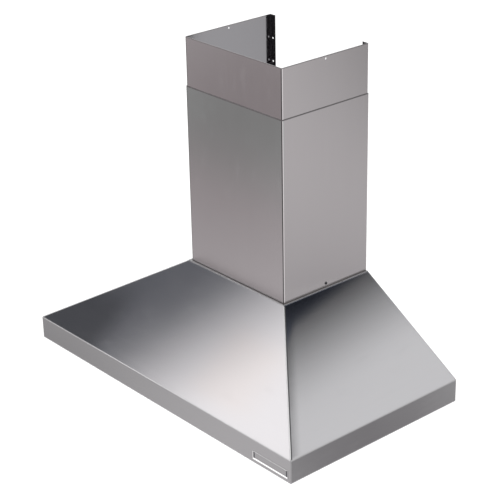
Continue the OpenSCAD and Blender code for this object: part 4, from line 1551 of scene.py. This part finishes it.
SCRIMS = (
    Scrim(
        "front_scrim", height=1.5, across=(0.6, 2.7), depth=(-1.25, -0.2), slope=(-0.645, -0.731),
        dark_at=-0.533, bright_at=-0.185, dark=(0.197, 0.206, 0.235), bright=(2.07, 2.03, 2.05),
    ),
    Scrim(
        "rear_scrim", height=1.5, across=(-0.3, 1.2), depth=(0.2, 1.75), slope=(0.976, 0.134),
        dark_at=0.47, bright_at=0.734, dark=(0.001, 0.002, 0.008), bright=(1.3, 1.305, 1.32),
    ),
)
GLOWS = (
    Glow(-36, -36, 3.9, (0.92, 0.9, 0.91)),
    Glow(-49.4, -19.4, 245.0, (0.37, 0.33, 0.335)),
    Glow(-60.6, -29.6, 325.0, (0.18, 0.175, 0.18)),
    Glow(139.7, -15.8, 275.0, (0.042, 0.039, 0.04)),
    Glow(135.2, -31.3, 192.0, (0.3, 0.285, 0.3)),
    Glow(-100, 62.0, 40.0, (2.4, 2.4, 2.4)),
    Glow(-44.2, 8.4, 60.0, (2.7, 2.7, 2.7)),
    Glow(145, 8.0, 60.0, (1.6, 1.6, 1.6)),
    Glow(0, -90.0, 8.0, (0.55, 0.55, 0.56)),
)


@dataclass
class Studio:
    """Scrims, floor, surroundings and camera, set up as for the photograph."""

    floor_z: float = -1.55
    floor_size: float = 60.0
    floor_glow: float = 0.1
    floor_grain: float = 3.0
    floor_detail: float = 3.0
    floor_dark: Colour = (0.94, 0.94, 0.94)
    floor_pale: Colour = (0.96, 0.96, 0.96)
    background: Colour = (1.0, 1.0, 1.0)

    def _floor(self) -> None:
        """Lays a pale floor far below the hood, which can be seen through from underneath."""
        half, low = self.floor_size / 2, self.floor_z
        sheet, graph = ground_sheet("studio_floor", (-half, -half, low), (half, half, low))
        grain = graph.noise(self.floor_grain, self.floor_detail)
        colour = graph.blend(grain, self.floor_dark, self.floor_pale)
        matt = graph.node("ShaderNodeBsdfDiffuse", None, {"Color": colour})
        sockets = {"Color": self.background, "Strength": self.floor_glow}
        white = graph.node("ShaderNodeEmission", None, sockets)
        lit = graph.node("ShaderNodeAddShader", None, {0: matt.outputs[0], 1: white.outputs[0]})
        clear = graph.node("ShaderNodeBsdfTransparent")
        below = graph.node("ShaderNodeNewGeometry").outputs["Backfacing"]
        shown = graph.mixed(below, lit, clear)
        graph.node("ShaderNodeOutputMaterial", None, {"Surface": shown})
        sheet.visible_glossy = False
        sheet.visible_diffuse = False

    def _world(self) -> None:
        """Surrounds the object with white, in front of which metal sees the lamps and cards."""
        world = bpy.data.worlds.new("studio_world")
        world.use_nodes = True
        bpy.context.scene.world = world
        graph = Graph(world.node_tree)
        way = graph.node("ShaderNodeTexCoord").outputs["Generated"]
        colour = self.background
        for glow in GLOWS:
            for direction in glow.directions():
                lobe = graph.along(way, direction).most(0.0) ** glow.sharpness
                colour = graph.blend(lobe, colour, glow.colour)
        around = graph.node("ShaderNodeBackground", None, {"Color": colour})
        white = graph.node("ShaderNodeBackground", None, {"Color": self.background})
        rays = graph.node("ShaderNodeLightPath").outputs
        plain = Value(graph, rays["Is Camera Ray"]).most(Value(graph, rays["Is Transmission Ray"]))
        graph.node("ShaderNodeOutputWorld", None, {"Surface": graph.mixed(plain, around, white)})

    def build(self) -> None:
        """Sets up the whole studio."""
        bpy.context.scene.view_settings.view_transform = "Standard"
        for scrim in SCRIMS:
            scrim.build()
        self._floor()
        self._world()
        Camera().build()


def main() -> None:
    """Sets up the studio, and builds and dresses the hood."""
    logging.basicConfig(level=logging.INFO, format="%(name)s: %(message)s")
    Studio().build()
    for assembly in (Canopy(), Flue(), AirPath(), Electrics(), Controls(), Lamps(), Filters()):
        for piece in assembly.build():
            LOG.info("%s: %d faces", piece.name, len(piece.data.polygons))
        assembly.dress()
        LOG.info("%s dressed", type(assembly).__name__)


if __name__ == "__main__":
    main()
